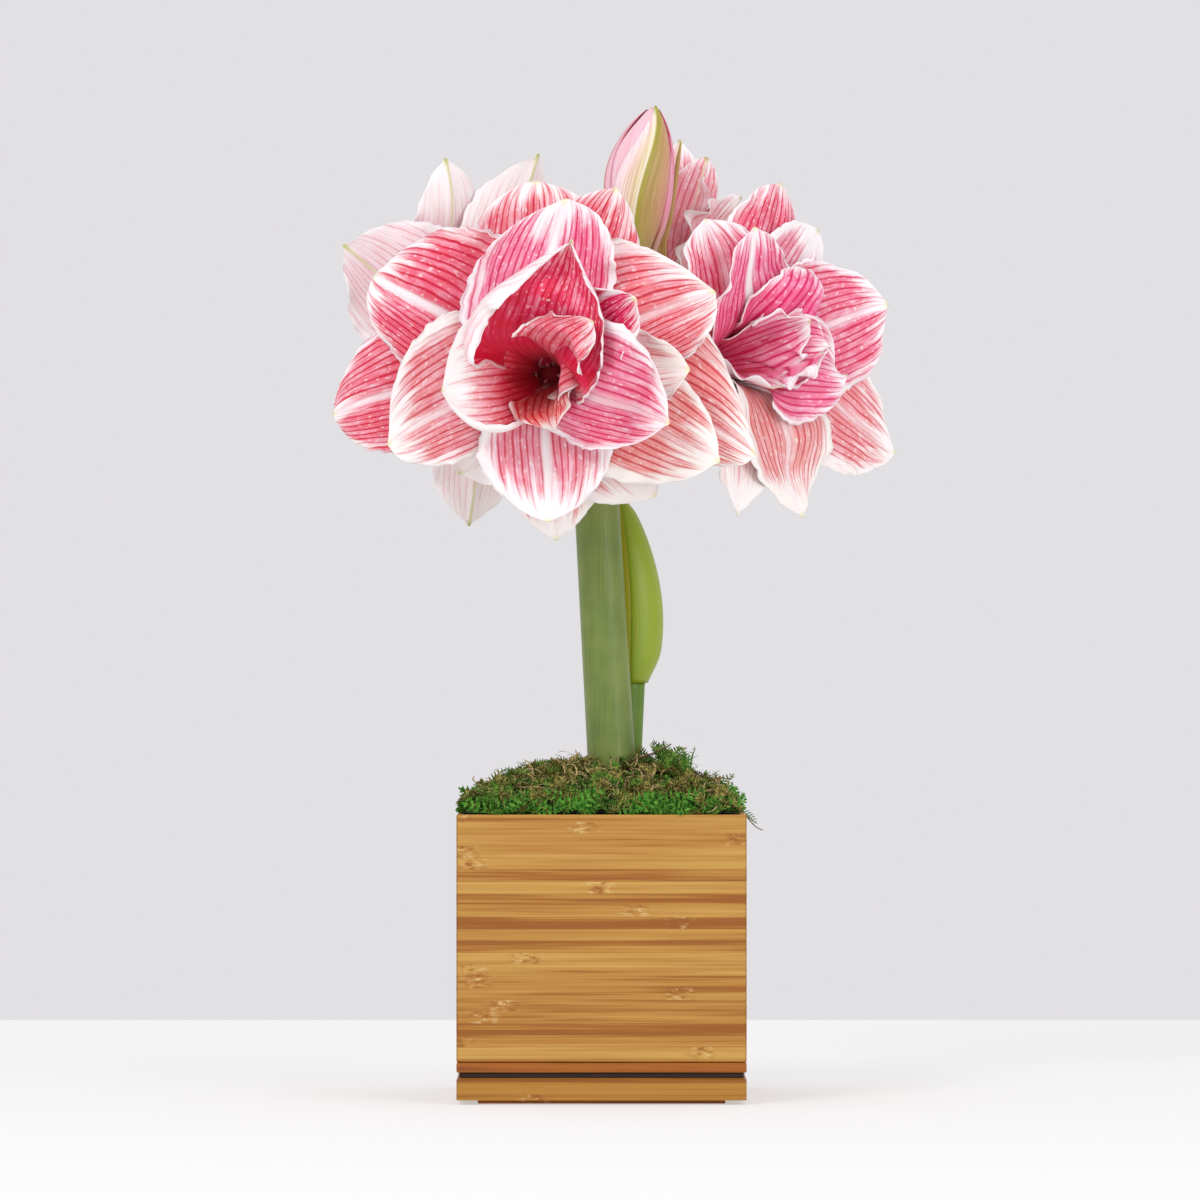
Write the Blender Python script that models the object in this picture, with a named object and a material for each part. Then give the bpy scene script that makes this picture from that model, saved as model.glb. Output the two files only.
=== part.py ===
"""A double-flowered amaryllis in a square bamboo planter, with moss round its two flower stems.

Metres, +Z up. The origin is the middle of the saucer's underside, on the table. -Y is the front.
Each object is one separate piece of the real thing.
"""

import math
from dataclasses import dataclass

import bmesh
import bpy
import numpy as np
from mathutils import Matrix, Vector
from mathutils.bvhtree import BVHTree

# Driving dimensions
PLANTER_SIDE = 0.152
RIM_HEIGHT = 0.152
WALL = 0.009
SEAT_GAP = 0.0003
EDGE_BEVEL = 0.0008

SAUCER_FOOT_SIDE = 0.130
SAUCER_FOOT_TOP = 0.0021
SAUCER_TOP = 0.0141
SAUCER_RECESS_SIDE = 0.116
SAUCER_RECESS_DEPTH = 0.004
SAUCER_BEVEL = 0.0013
SPACER_SIDE = 0.149
SPACER_WIDTH = 0.014
SPACER_TOP = 0.0165
BASE_BOARD_TOP = 0.0222

LINER_WALL = 0.0018
LINER_FLOOR = 0.0025
LINER_TOP = 0.145
LINER_CORNER = 0.004
LINER_INNER_CORNER = 0.003
SOIL_TOP = 0.137
SOIL_CORNER = 0.0034

BULB_CENTRE = Vector((0.0095, 0.0065, 0.0))
BULB_PROFILE = [
    (0.0715, 0.011),
    (0.0760, 0.022),
    (0.0850, 0.032),
    (0.0980, 0.0385),
    (0.1110, 0.0400),
    (0.1250, 0.0380),
    (0.1380, 0.0335),
    (0.1500, 0.0295),
    (0.1610, 0.0270),
    (0.1650, 0.0252),
]
BULB_SIDES = 16

STEM_FOOT = Vector((0.0088, -0.0040, 0.118))
STEM_TOP = Vector((-0.0050, -0.0010, 0.360))
STEM_RADIUS_FOOT = 0.0130
STEM_RADIUS_TOP = 0.0118
STEM_SIDES = 16
YOUNG_STEM_FOOT = Vector((0.0110, 0.0200, 0.118))
YOUNG_STEM_TOP = Vector((0.0157, 0.0215, 0.2195))
YOUNG_STEM_RADIUS = 0.0076
PEDICEL_RADIUS = 0.0042
PEDICEL_END_RADIUS = 0.0052
PEDICEL_SIDES = 8

SPATHE_SECTIONS = [
    (Vector((0.0157, 0.0215, 0.2199)), 0.0080, 0.0080),
    (Vector((0.0158, 0.0220, 0.2250)), 0.0102, 0.0096),
    (Vector((0.0160, 0.0226, 0.2330)), 0.0133, 0.0114),
    (Vector((0.0163, 0.0232, 0.2440)), 0.0147, 0.0122),
    (Vector((0.0164, 0.0238, 0.2560)), 0.0149, 0.0124),
    (Vector((0.0160, 0.0240, 0.2700)), 0.0140, 0.0118),
    (Vector((0.0148, 0.0240, 0.2850)), 0.0120, 0.0104),
    (Vector((0.0132, 0.0240, 0.2985)), 0.0092, 0.0082),
    (Vector((0.0115, 0.0240, 0.3100)), 0.0058, 0.0054),
    (Vector((0.0100, 0.0240, 0.3190)), 0.0020, 0.0020),
]
SPATHE_SIDES = 16

BUD_BASE = Vector((0.0165, 0.0085, 0.4330))
BUD_FACES = Vector((0.10, 0.05, 1.0)).normalized()
BUD_SECTIONS = [
    (Vector((0.0165, 0.0085, 0.4330)), 0.0056, 0.0056),
    (Vector((0.0178, 0.0090, 0.4405)), 0.0076, 0.0076),
    (Vector((0.0192, 0.0096, 0.4510)), 0.0104, 0.0104),
    (Vector((0.0200, 0.0100, 0.4640)), 0.0146, 0.0142),
    (Vector((0.0198, 0.0100, 0.4780)), 0.0178, 0.0170),
    (Vector((0.0204, 0.0100, 0.4905)), 0.0184, 0.0174),
    (Vector((0.0218, 0.0100, 0.5010)), 0.0172, 0.0164),
    (Vector((0.0236, 0.0100, 0.5105)), 0.0142, 0.0136),
    (Vector((0.0254, 0.0100, 0.5190)), 0.0098, 0.0094),
    (Vector((0.0270, 0.0100, 0.5250)), 0.0052, 0.0050),
    (Vector((0.0282, 0.0100, 0.5288)), 0.0014, 0.0014),
]
BUD_SIDES = 18
BUD_SEAM = 0.05

MOSS_HALF = 0.0728
MOSS_FOOT = 0.1523
MOSS_RISE = 0.0265
MOSS_CELLS = 16
MOSS_PLUG_HALF = 0.0646
MOSS_PLUG_TOP = 0.1560
MOSS_LUMPS = 120

PETAL_THICKNESS = 0.0010
PETAL_ROWS = (0.05, 0.25, 0.46, 0.66, 0.83, 0.95, 1.0)
SHORT_PETAL_ROWS = (0.05, 0.32, 0.58, 0.78, 0.93, 1.0)
SHORT_PETAL = 0.120
SMALL_PETAL_ROWS = (0.05, 0.32, 0.58, 0.82, 1.0)
SMALL_PETAL = 0.083
PETAL_COLUMNS = 4
SMALL_PETAL_COLUMNS = 2
CLAW_SHARE = 0.14
CLAW_CURL = 85
CLAW_CURL_END = 0.30
CLAW_RADIUS_REAR = 0.0068
CLAW_RADIUS_FRONT = 0.0025
FLARE_DELAY = 0.10
TIP_HALF_WIDTH = 0.0008
PETAL_SPACING = 0.0021
DRAPE_FROM = 0.013
DRAPE_FULL = 0.024
DRAPE_SPLIT = 3
DRAPE_REACH = 2
DRAPE_SMOOTH = 1
OVERHANG = 0.024
PARTING_CLEARANCE = 0.0009
PARTING_SPREAD = 0.008
PARTING_SOFTNESS = 0.004
GROOVE_DEPTH = 0.035
GROOVE_WIDTH = 0.16
HOOK_FROM = 0.75
CUP_FULL = 0.5
ROLL_FULL = 0.4
CORE_SIDES = 14
CORE_SECTIONS = ((0.0, 0.0050), (0.004, 0.0085), (0.012, 0.0140), (0.021, 0.0190), (0.027, 0.0200), (0.0295, 0.0175))
BUD_CORE_SECTIONS = ((0.0, 0.0050), (0.004, 0.0078), (0.012, 0.0112), (0.020, 0.0132), (0.0230, 0.0116))


@dataclass
class Petal:
    """One tepal. clock runs round the bloom: 0 at a facing viewer's right, 90 at the top.

    Angles are in degrees. sway, ruffle and the clock grow to the left of a petal that points up. roll_left and
    roll_right turn its margins over towards the viewer, hook bends its tip back, late keeps it longer in the tube,
    and lean is the share by which its left half is wider than its width says, and its right half narrower.
    """

    clock: float
    length: float
    width: float
    opens: float
    cup: float = 20.0
    roll_left: float = 0.0
    roll_right: float = 0.0
    twist: float = 0.0
    sway: float = 0.0
    hook: float = 0.0
    ruffle: float = 0.06
    waves: float = 3.0
    widest: float = 0.60
    blunt: float = 0.53
    late: float = 0.0
    lean: float = 0.0


@dataclass
class Bloom:
    """A flower head on its own short stalk. base is where it springs from, faces is the way it looks.

    Its petals are listed from the rearmost forward.
    """

    name: str
    base: Vector
    faces: Vector
    tube_angle: float
    flare_from: float
    flare_to: float
    petals: list
    draped: bool = True


def facing(x, y, z):
    return Vector((x, y, z)).normalized()


FRONT_BLOOM = Bloom(
    name="bloom_front",
    base=Vector((-0.024, -0.052, 0.384)),
    faces=facing(-0.17, -0.97, -0.05),
    tube_angle=10,
    flare_from=0.04,
    flare_to=0.50,
    petals=[
        Petal(clock=177, length=0.138, width=0.084, opens=104, cup=-16, sway=0.20, hook=34, lean=-0.2),
        Petal(clock=94, length=0.119, width=0.086, opens=103, cup=-10, hook=30),
        Petal(clock=351, length=0.134, width=0.080, opens=103, cup=-14, sway=-0.20, hook=12, blunt=0.62),
        Petal(clock=271, length=0.102, width=0.056, opens=106, cup=-8, blunt=0.7),
        Petal(clock=227, length=0.083, width=0.060, opens=105, cup=-8),
        Petal(clock=310, length=0.100, width=0.062, opens=106, cup=-8),
        Petal(clock=72, length=0.124, width=0.066, opens=99, cup=-16, sway=-0.05, blunt=0.62, twist=24),
        Petal(clock=147, length=0.131, width=0.086, opens=97, cup=-12, sway=0.05, hook=46, lean=-0.2),
        Petal(clock=334, length=0.126, width=0.066, opens=92, cup=-6, blunt=0.66),
        Petal(clock=190, length=0.108, width=0.076, opens=91, cup=-8, sway=0.20, hook=14, lean=-0.26),
        Petal(clock=38, length=0.121, width=0.088, opens=91, cup=-10, sway=-0.19, hook=10, lean=0.3),
        Petal(clock=272, length=0.096, width=0.072, opens=83, cup=-6, hook=12, blunt=0.61),
        Petal(clock=96, length=0.115, width=0.082, opens=78, cup=4, sway=-0.22, hook=14, lean=0.1),
        Petal(clock=2, length=0.105, width=0.050, opens=76, cup=24, ruffle=0.12, waves=4),
        Petal(clock=35, length=0.117, width=0.056, opens=66, cup=26, ruffle=0.20, waves=5, late=0.15),
        Petal(clock=341, length=0.110, width=0.072, opens=64, cup=16, roll_right=40, lean=0.16, blunt=0.7),
        Petal(clock=183, length=0.075, width=0.080, opens=62, cup=20, roll_left=140, sway=0.06),
        Petal(clock=69, length=0.129, width=0.104, opens=50, cup=10, roll_left=190, roll_right=80, lean=0.12,
              widest=0.48, blunt=0.95, ruffle=0.04),
        Petal(clock=292, length=0.066, width=0.040, opens=30, cup=10, hook=40, blunt=0.7),
        Petal(clock=38, length=0.090, width=0.046, opens=42, cup=44, ruffle=0.08),
    ],
)

RIGHT_BLOOM = Bloom(
    name="bloom_right",
    base=Vector((0.048, -0.004, 0.388)),
    faces=facing(0.72, -0.68, 0.14),
    tube_angle=10,
    flare_from=0.05,
    flare_to=0.55,
    petals=[
        Petal(clock=64, length=0.125, width=0.064, opens=92, cup=-12, hook=16, blunt=0.62),
        Petal(clock=45, length=0.118, width=0.060, opens=92, cup=-6),
        Petal(clock=343, length=0.149, width=0.074, opens=98, cup=-10, sway=-0.10, blunt=0.74),
        Petal(clock=251, length=0.112, width=0.050, opens=84, cup=-4, blunt=0.78),
        Petal(clock=278, length=0.082, width=0.048, opens=90, cup=0),
        Petal(clock=104, length=0.094, width=0.070, opens=84, cup=-10, hook=30),
        Petal(clock=284, length=0.113, width=0.064, opens=90, cup=-10, roll_right=60, sway=0.08, blunt=0.74),
        Petal(clock=20, length=0.132, width=0.076, opens=86, cup=-6, sway=-0.06, blunt=0.62),
        Petal(clock=347, length=0.084, width=0.070, opens=72, cup=12, hook=24, late=0.15),
        Petal(clock=99, length=0.098, width=0.068, opens=66, cup=10, hook=12, blunt=0.7, late=0.05),
        Petal(clock=54, length=0.088, width=0.046, opens=66, cup=10, hook=16, late=0.12),
        Petal(clock=0, length=0.066, width=0.042, opens=46, cup=30, ruffle=0.12, waves=4, late=0.15),
        Petal(clock=39, length=0.066, width=0.034, opens=26, cup=30, ruffle=0.14, waves=4, late=0.20),
        Petal(clock=262, length=0.062, width=0.046, opens=24, cup=24, ruffle=0.14, waves=4, late=0.10),
    ],
)

BACK_BLOOM = Bloom(
    name="bloom_back",
    base=Vector((-0.040, 0.026, 0.388)),
    faces=facing(-0.55, 0.82, 0.08),
    tube_angle=10,
    flare_from=0.06,
    flare_to=0.60,
    petals=[
        Petal(clock=35, length=0.132, width=0.078, opens=90, cup=14, lean=0.2, blunt=0.74),
        Petal(clock=107, length=0.148, width=0.066, opens=92, cup=22, blunt=0.74),
        Petal(clock=272, length=0.108, width=0.062, opens=86, cup=12, blunt=0.74),
        Petal(clock=170, length=0.126, width=0.066, opens=88, cup=0, blunt=0.7),
        Petal(clock=80, length=0.144, width=0.064, opens=90, cup=12, hook=-10, blunt=0.7),
        Petal(clock=230, length=0.112, width=0.066, opens=88, cup=0),
        Petal(clock=350, length=0.098, width=0.064, opens=84, cup=0),
        Petal(clock=64, length=0.110, width=0.070, opens=68, cup=10),
        Petal(clock=165, length=0.104, width=0.070, opens=66, cup=10),
        Petal(clock=270, length=0.096, width=0.070, opens=66, cup=10),
        Petal(clock=20, length=0.072, width=0.040, opens=44, cup=30, ruffle=0.14, waves=4),
        Petal(clock=215, length=0.072, width=0.040, opens=44, cup=30, ruffle=0.14, waves=4),
    ],
)

HALF_OPEN_BLOOM = Bloom(
    name="bloom_half_open",
    base=Vector((0.034, 0.044, 0.424)),
    faces=facing(0.26, 0.40, 0.88),
    tube_angle=12,
    flare_from=0.20,
    flare_to=0.85,
    draped=False,
    petals=[
        Petal(clock=84, length=0.090, width=0.042, opens=12, cup=30, twist=20, blunt=0.78),
        Petal(clock=176, length=0.070, width=0.044, opens=32, cup=26, twist=20),
        Petal(clock=308, length=0.088, width=0.042, opens=28, cup=26, twist=20, blunt=0.7),
        Petal(clock=125, length=0.083, width=0.036, opens=12, cup=30, twist=20),
        Petal(clock=248, length=0.078, width=0.036, opens=14, cup=30, twist=20),
        Petal(clock=8, length=0.074, width=0.036, opens=10, cup=30, twist=20),
    ],
)

BLOOMS = [FRONT_BLOOM, RIGHT_BLOOM, BACK_BLOOM, HALF_OPEN_BLOOM]


@dataclass
class Parting:
    """A plane that two neighbouring heads bend clear of. first stays behind it, second beyond it."""

    first: tuple
    second: tuple
    through: Vector
    normal: Vector


PARTINGS = [
    Parting(("bloom_front",), ("bloom_right",), Vector((0.050, -0.062, 0)), facing(0.55, 0.83, 0)),
    Parting(("bloom_front",), ("bloom_back", "bud", "bloom_half_open"), Vector((0, -0.022, 0)), facing(0, 1, 0)),
    Parting(("bloom_right",), ("bloom_half_open", "bud"), Vector((0.060, 0.010, 0)), facing(-0.60, 0.80, 0)),
    Parting(("bud",), ("bloom_half_open",), Vector((0.033, 0.027, 0)), facing(0.50, 0.866, 0)),
    Parting(("bloom_back",), ("bloom_half_open", "bud"), Vector((0.002, 0.058, 0)), facing(0.80, -0.60, 0)),
]


def smoothstep(x):
    x = np.clip(x, 0.0, 1.0)
    return x * x * (3.0 - 2.0 * x)


def bloom_axes(bloom):
    """The bloom's forward axis, and the right and up directions as a viewer facing it sees them."""
    forward = np.array(bloom.faces)
    right = np.cross(-forward, (0.0, 0.0, 1.0))
    right /= np.linalg.norm(right)
    up = np.cross(right, -forward)
    return forward, right, up


def half_width(petal, t):
    """Half the petal's width at t along it: a narrow claw, full at its widest, then a drawn-out point."""
    below = CLAW_SHARE + (1 - CLAW_SHARE) * np.sin(0.5 * math.pi * np.clip(t / petal.widest, 0, 1)) ** 1.7
    x = np.clip((t - petal.widest) / (1 - petal.widest), 0, 1)
    above = np.cos(0.5 * math.pi * x) ** petal.blunt
    return np.maximum(0.5 * petal.width * np.where(t < petal.widest, below, above), TIP_HALF_WIDTH)


def part_from_neighbours(points, name, depth):
    """Bends the points away from each parting plane that this head shares with a neighbour."""
    for parting in PARTINGS:
        if name in parting.first:
            side = 1.0
        elif name in parting.second:
            side = -1.0
        else:
            continue
        normal = side * np.array(parting.normal)
        reach = (points - np.array(parting.through)) @ normal
        room = -(PARTING_CLEARANCE + depth * PARTING_SPREAD)
        softened = room - PARTING_SOFTNESS * np.logaddexp(0, (room - reach) / PARTING_SOFTNESS)
        points = points + (softened - reach)[..., None] * normal
    return points


def petal_surface(bloom, petal, along, columns):
    """The middle surface of one petal at each share of its length in along, as rows of columns + 1 points."""
    depth = bloom.petals.index(petal) / (len(bloom.petals) - 1)
    forward, right, up = bloom_axes(bloom)
    clock = math.radians(petal.clock)
    outward = math.cos(clock) * right + math.sin(clock) * up
    sideways = -math.sin(clock) * right + math.cos(clock) * up

    fine = np.linspace(0, 1, 201)
    flare_from = bloom.flare_from + FLARE_DELAY * depth + petal.late
    swing = smoothstep((fine - flare_from) / (bloom.flare_to - bloom.flare_from))
    angle = np.radians(bloom.tube_angle + (petal.opens - bloom.tube_angle) * swing)
    angle += math.radians(petal.hook) * np.clip((fine - HOOK_FROM) / (1 - HOOK_FROM), 0, 1) ** 2
    heading = np.cos(angle)[:, None] * forward + np.sin(angle)[:, None] * outward
    step = petal.length / 200
    run = np.vstack([np.zeros(3), np.cumsum(0.5 * (heading[1:] + heading[:-1]) * step, axis=0)])
    run += np.outer(petal.sway * petal.length * fine**2, sideways)

    along = np.asarray(along)
    rows = len(along)
    root = np.array(bloom.base) + (CLAW_RADIUS_REAR + (CLAW_RADIUS_FRONT - CLAW_RADIUS_REAR) * depth) * outward
    centre = root + np.stack([np.interp(along, fine, run[:, i]) for i in range(3)], 1)
    angle = np.interp(along, fine, angle)
    face = np.sin(angle)[:, None] * forward - np.cos(angle)[:, None] * outward

    turn = np.radians(petal.twist) * smoothstep(along / ROLL_FULL)
    across_dir = np.cos(turn)[:, None] * sideways + np.sin(turn)[:, None] * face
    face = -np.sin(turn)[:, None] * sideways + np.cos(turn)[:, None] * face

    samples = 16
    side = np.linspace(-1, 1, columns * samples + 1)
    tube = CLAW_CURL * (1 - smoothstep(along / CLAW_CURL_END))
    bend = np.radians(tube + petal.cup * smoothstep(along / CUP_FULL))[:, None] * side
    roll = np.where(side > 0, petal.roll_left, petal.roll_right)
    bend += np.radians(roll * np.abs(side) ** 3 * np.sign(side)) * smoothstep(along / ROLL_FULL)[:, None]
    flat, lift = np.cos(bend), np.sin(bend)
    width = half_width(petal, along)
    dx = 0.5 * (flat[:, 1:] + flat[:, :-1]) * np.diff(side)
    dn = 0.5 * (lift[:, 1:] + lift[:, :-1]) * np.diff(side)
    x = np.hstack([np.zeros((rows, 1)), np.cumsum(dx, 1)])
    n = np.hstack([np.zeros((rows, 1)), np.cumsum(dn, 1)])
    middle = columns * samples // 2
    x = (x - x[:, [middle]])[:, ::samples] * width[:, None]
    n = (n - n[:, [middle]])[:, ::samples] * width[:, None]

    s = np.linspace(-1, 1, columns + 1)
    phase = 2.4 * petal.clock + 17 * depth
    envelope = np.sin(math.pi * np.clip(along, 0, 1)) ** 0.6
    wave = np.sin(2 * math.pi * petal.waves * along[:, None] + phase + 1.9 * np.sign(s))
    n += petal.ruffle * petal.width * np.abs(s) ** 3 * wave * envelope[:, None]
    n -= GROOVE_DEPTH * petal.width * np.exp(-((s / GROOVE_WIDTH) ** 2)) * envelope[:, None]

    x *= 1 + petal.lean * np.sign(s)
    points = centre[:, None] + x[..., None] * across_dir[:, None] + n[..., None] * face[:, None]
    return part_from_neighbours(points, bloom.name, depth)


def grid_faces(rows, columns, first):
    """The square faces of a rows x columns grid of points whose first point has this number."""
    numbers = first + np.arange(rows * columns).reshape(rows, columns)
    corners = numbers[:-1, :-1], numbers[:-1, 1:], numbers[1:, 1:], numbers[1:, :-1]
    return np.stack([corner.ravel() for corner in corners], 1).tolist()


def between_points(points, split):
    """The same grid with split - 1 more points between each two neighbours."""
    for axis in (0, 1):
        count = points.shape[axis]
        places = np.linspace(0, count - 1, (count - 1) * split + 1)
        low = np.minimum(places.astype(int), count - 2)
        share = places - low
        share = share[:, None, None] if axis == 0 else share[None, :, None]
        points = np.take(points, low, axis) * (1 - share) + np.take(points, low + 1, axis) * share
    return points


def largest_near(values, reach):
    """Each value replaced by the largest one within reach places of it."""
    for axis in (0, 1):
        padded = np.pad(values, [(reach, reach) if i == axis else (0, 0) for i in (0, 1)], mode="edge")
        stack = [np.take(padded, range(i, i + values.shape[axis]), axis) for i in range(2 * reach + 1)]
        values = np.max(stack, axis=0)
    return values


def average_near(values, reach):
    for axis in (0, 1):
        padded = np.pad(values, [(reach, reach) if i == axis else (0, 0) for i in (0, 1)], mode="edge")
        stack = [np.take(padded, range(i, i + values.shape[axis]), axis) for i in range(2 * reach + 1)]
        values = np.mean(stack, axis=0)
    return values


def lift_over(points, behind, bloom, split, reach, smooth):
    """Lifts a petal forward wherever it would meet the petals behind it."""
    forward = np.array(bloom.faces)
    down = Vector(-forward)
    for _ in range(3):
        lattice = between_points(points, split)
        offset = lattice - np.array(bloom.base)
        height = offset @ forward
        radius = np.linalg.norm(offset - height[..., None] * forward, axis=2)
        share = smoothstep((radius - DRAPE_FROM) / (DRAPE_FULL - DRAPE_FROM))
        need = np.zeros(height.shape)
        for place in zip(*np.nonzero(share)):
            start = Vector(lattice[place] + (0.2 - height[place]) * forward)
            hit = behind.ray_cast(start, down)[0]
            if hit:
                need[place] = (np.array(hit) - np.array(bloom.base)) @ forward + PETAL_SPACING - height[place]
        need[need > OVERHANG] = 0
        need = largest_near(np.maximum(need, 0) * share, reach)
        if smooth:
            need = average_near(need, smooth)
        points = points + need[::split, ::split, None] * forward
    return points


def bloom_surfaces(bloom, rows_of, columns_of, split=DRAPE_SPLIT, reach=DRAPE_REACH, smooth=DRAPE_SMOOTH):
    """The middle surface of every petal of a bloom, from the rearmost forward, each clear of those behind it."""
    surfaces = []
    corners, faces = [], []
    for petal in bloom.petals:
        points = petal_surface(bloom, petal, rows_of(petal), columns_of(petal))
        if faces and bloom.draped:
            behind = BVHTree.FromPolygons(corners, faces)
            points = lift_over(points, behind, bloom, split, reach, smooth)
            depth = len(surfaces) / (len(bloom.petals) - 1)
            points = part_from_neighbours(points, bloom.name, depth)
        surfaces.append(points)
        faces += grid_faces(points.shape[0], points.shape[1], len(corners))
        corners += points.reshape(-1, 3).tolist()
    return surfaces


def new_object(name, mesh_data, colour, roughness=0.5):
    """Makes the object for one node, with its own material."""
    material = bpy.data.materials.new(name)
    material.use_nodes = True
    shader = material.node_tree.nodes["Principled BSDF"]
    shader.inputs["Base Color"].default_value = (*colour, 1)
    shader.inputs["Roughness"].default_value = roughness
    mesh = bpy.data.meshes.new(name)
    mesh_data.to_mesh(mesh)
    mesh_data.free()
    mesh.materials.append(material)
    node = bpy.data.objects.new(name, mesh)
    bpy.context.scene.collection.objects.link(node)
    return node


def triangulated(mesh_data):
    bmesh.ops.recalc_face_normals(mesh_data, faces=mesh_data.faces[:])
    bmesh.ops.triangulate(mesh_data, faces=mesh_data.faces[:])
    return mesh_data


def add_box(mesh_data, low, high):
    """Adds a box between two corners and returns its vertices."""
    low, high = Vector(low), Vector(high)
    size = Matrix.Diagonal((*(high - low), 1))
    place = Matrix.Translation((low + high) / 2) @ size
    return bmesh.ops.create_cube(mesh_data, size=1, matrix=place)["verts"]


def add_rings(mesh_data, rings):
    """Skins a stack of closed rings of points, with a flat cap at each end."""
    levels = [[mesh_data.verts.new(point) for point in ring] for ring in rings]
    count = len(levels[0])
    for lower, upper in zip(levels, levels[1:]):
        for i in range(count):
            j = (i + 1) % count
            mesh_data.faces.new((lower[i], lower[j], upper[j], upper[i]))
    mesh_data.faces.new(levels[0][::-1])
    mesh_data.faces.new(levels[-1])


def ring(centre, forward, radius, sides, depth=None, turn=0.0):
    """A ring of points round centre, at right angles to forward, radius wide and depth deep."""
    forward = Vector(forward).normalized()
    right = Vector((0, 1, 0)).cross(forward)
    right = right.normalized() if right.length > 0.2 else Vector((1, 0, 0))
    up = forward.cross(right)
    depth = radius if depth is None else depth
    points = []
    for i in range(sides):
        angle = 2 * math.pi * i / sides + turn
        points.append(centre + radius * math.cos(angle) * right + depth * math.sin(angle) * up)
    return points


def tube_rings(path, radii, sides, last_way=None):
    """Rings along a path of points, each at right angles to the way the path runs there."""
    rings = []
    for i, centre in enumerate(path):
        before, after = path[max(i - 1, 0)], path[min(i + 1, len(path) - 1)]
        way = last_way if last_way and centre is path[-1] else after - before
        rings.append(ring(centre, way, radii[i], sides))
    return rings


def node_from_rings(name, rings, colour, roughness=0.5):
    mesh_data = bmesh.new()
    add_rings(mesh_data, rings)
    return new_object(name, triangulated(mesh_data), colour, roughness)


def box_node(name, low, high, colour, bevel=EDGE_BEVEL):
    mesh_data = bmesh.new()
    add_box(mesh_data, low, high)
    bmesh.ops.bevel(mesh_data, geom=mesh_data.edges[:], offset=bevel, segments=1, affect="EDGES")
    return new_object(name, triangulated(mesh_data), colour)


def loose_tool(name, mesh_data):
    """Makes a working solid for a Boolean step."""
    triangulated(mesh_data)
    mesh = bpy.data.meshes.new(name)
    mesh_data.to_mesh(mesh)
    mesh_data.free()
    tool = bpy.data.objects.new(name, mesh)
    tool.hide_render = True
    tool.display_type = "WIRE"
    bpy.context.scene.collection.objects.link(tool)
    return tool


def apply_boolean(node, tools, operation):
    """Joins all tools to the node, or cuts them from it, in one step and removes them."""
    group = bpy.data.collections.new(node.name + "_tools")
    bpy.context.scene.collection.children.link(group)
    for tool in tools:
        bpy.context.scene.collection.objects.unlink(tool)
        group.objects.link(tool)
    step = node.modifiers.new("boolean", "BOOLEAN")
    step.operation = operation
    step.solver = "MANIFOLD"
    step.operand_type = "COLLECTION"
    step.collection = group
    bpy.context.view_layer.update()
    result = bpy.data.meshes.new_from_object(node.evaluated_get(bpy.context.evaluated_depsgraph_get()))
    node.modifiers.clear()
    old = node.data
    node.data = result
    bpy.data.meshes.remove(old)
    for tool in tools:
        bpy.data.objects.remove(tool)
    bpy.data.collections.remove(group)
    result.name = node.name
    tidy(node)


def tidy(node):
    """Triangulates a Boolean result and drops pockets that it shut inside the solid."""
    mesh_data = bmesh.new()
    mesh_data.from_mesh(node.data)
    bmesh.ops.triangulate(mesh_data, faces=mesh_data.faces[:])
    pieces = connected_pieces(mesh_data)
    main = max(pieces, key=len)
    extra = [face for piece in pieces if piece is not main for face in piece]
    bmesh.ops.delete(mesh_data, geom=extra, context="FACES")
    mesh_data.to_mesh(node.data)
    mesh_data.free()


def connected_pieces(mesh_data):
    """The mesh's faces in groups, one for each part that hangs together along its edges."""
    seen = set()
    pieces = []
    for start in mesh_data.faces:
        if start in seen:
            continue
        seen.add(start)
        piece = [start]
        for face in piece:
            for edge in face.edges:
                for other in edge.link_faces:
                    if other not in seen:
                        seen.add(other)
                        piece.append(other)
        pieces.append(piece)
    return pieces


def petal_blade(points):
    """A closed blade PETAL_THICKNESS thick about a grid of middle points, cut alike on both faces."""
    rows, columns = points.shape[:2]
    along = np.gradient(points, axis=0)
    across = np.gradient(points, axis=1)
    normal = np.cross(across, along)
    normal /= np.linalg.norm(normal, axis=2, keepdims=True) + 1e-12
    mesh_data = bmesh.new()
    sides = []
    for sign in (0.5, -0.5):
        offset = points + sign * PETAL_THICKNESS * normal
        sides.append([[mesh_data.verts.new(point) for point in line] for line in offset])
    for r in range(rows - 1):
        for c in range(columns - 1):
            for side in sides:
                corners = side[r][c], side[r][c + 1], side[r + 1][c + 1], side[r + 1][c]
                if c < columns // 2:
                    mesh_data.faces.new((corners[0], corners[1], corners[2]))
                    mesh_data.faces.new((corners[0], corners[2], corners[3]))
                else:
                    mesh_data.faces.new((corners[0], corners[1], corners[3]))
                    mesh_data.faces.new((corners[1], corners[2], corners[3]))
    edge = [(0, c) for c in range(columns)]
    edge += [(r, columns - 1) for r in range(1, rows)]
    edge += [(rows - 1, c) for c in range(columns - 2, -1, -1)]
    edge += [(r, 0) for r in range(rows - 2, 0, -1)]
    for (r, c), (s, d) in zip(edge, edge[1:] + edge[:1]):
        mesh_data.faces.new((sides[0][r][c], sides[0][s][d], sides[1][s][d]))
        mesh_data.faces.new((sides[0][r][c], sides[1][s][d], sides[1][r][c]))
    return mesh_data


def petal_rows(petal):
    if petal.length < SMALL_PETAL:
        return SMALL_PETAL_ROWS
    return SHORT_PETAL_ROWS if petal.length < SHORT_PETAL else PETAL_ROWS


def petal_columns(petal):
    return SMALL_PETAL_COLUMNS if petal.length < SMALL_PETAL else PETAL_COLUMNS


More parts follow.
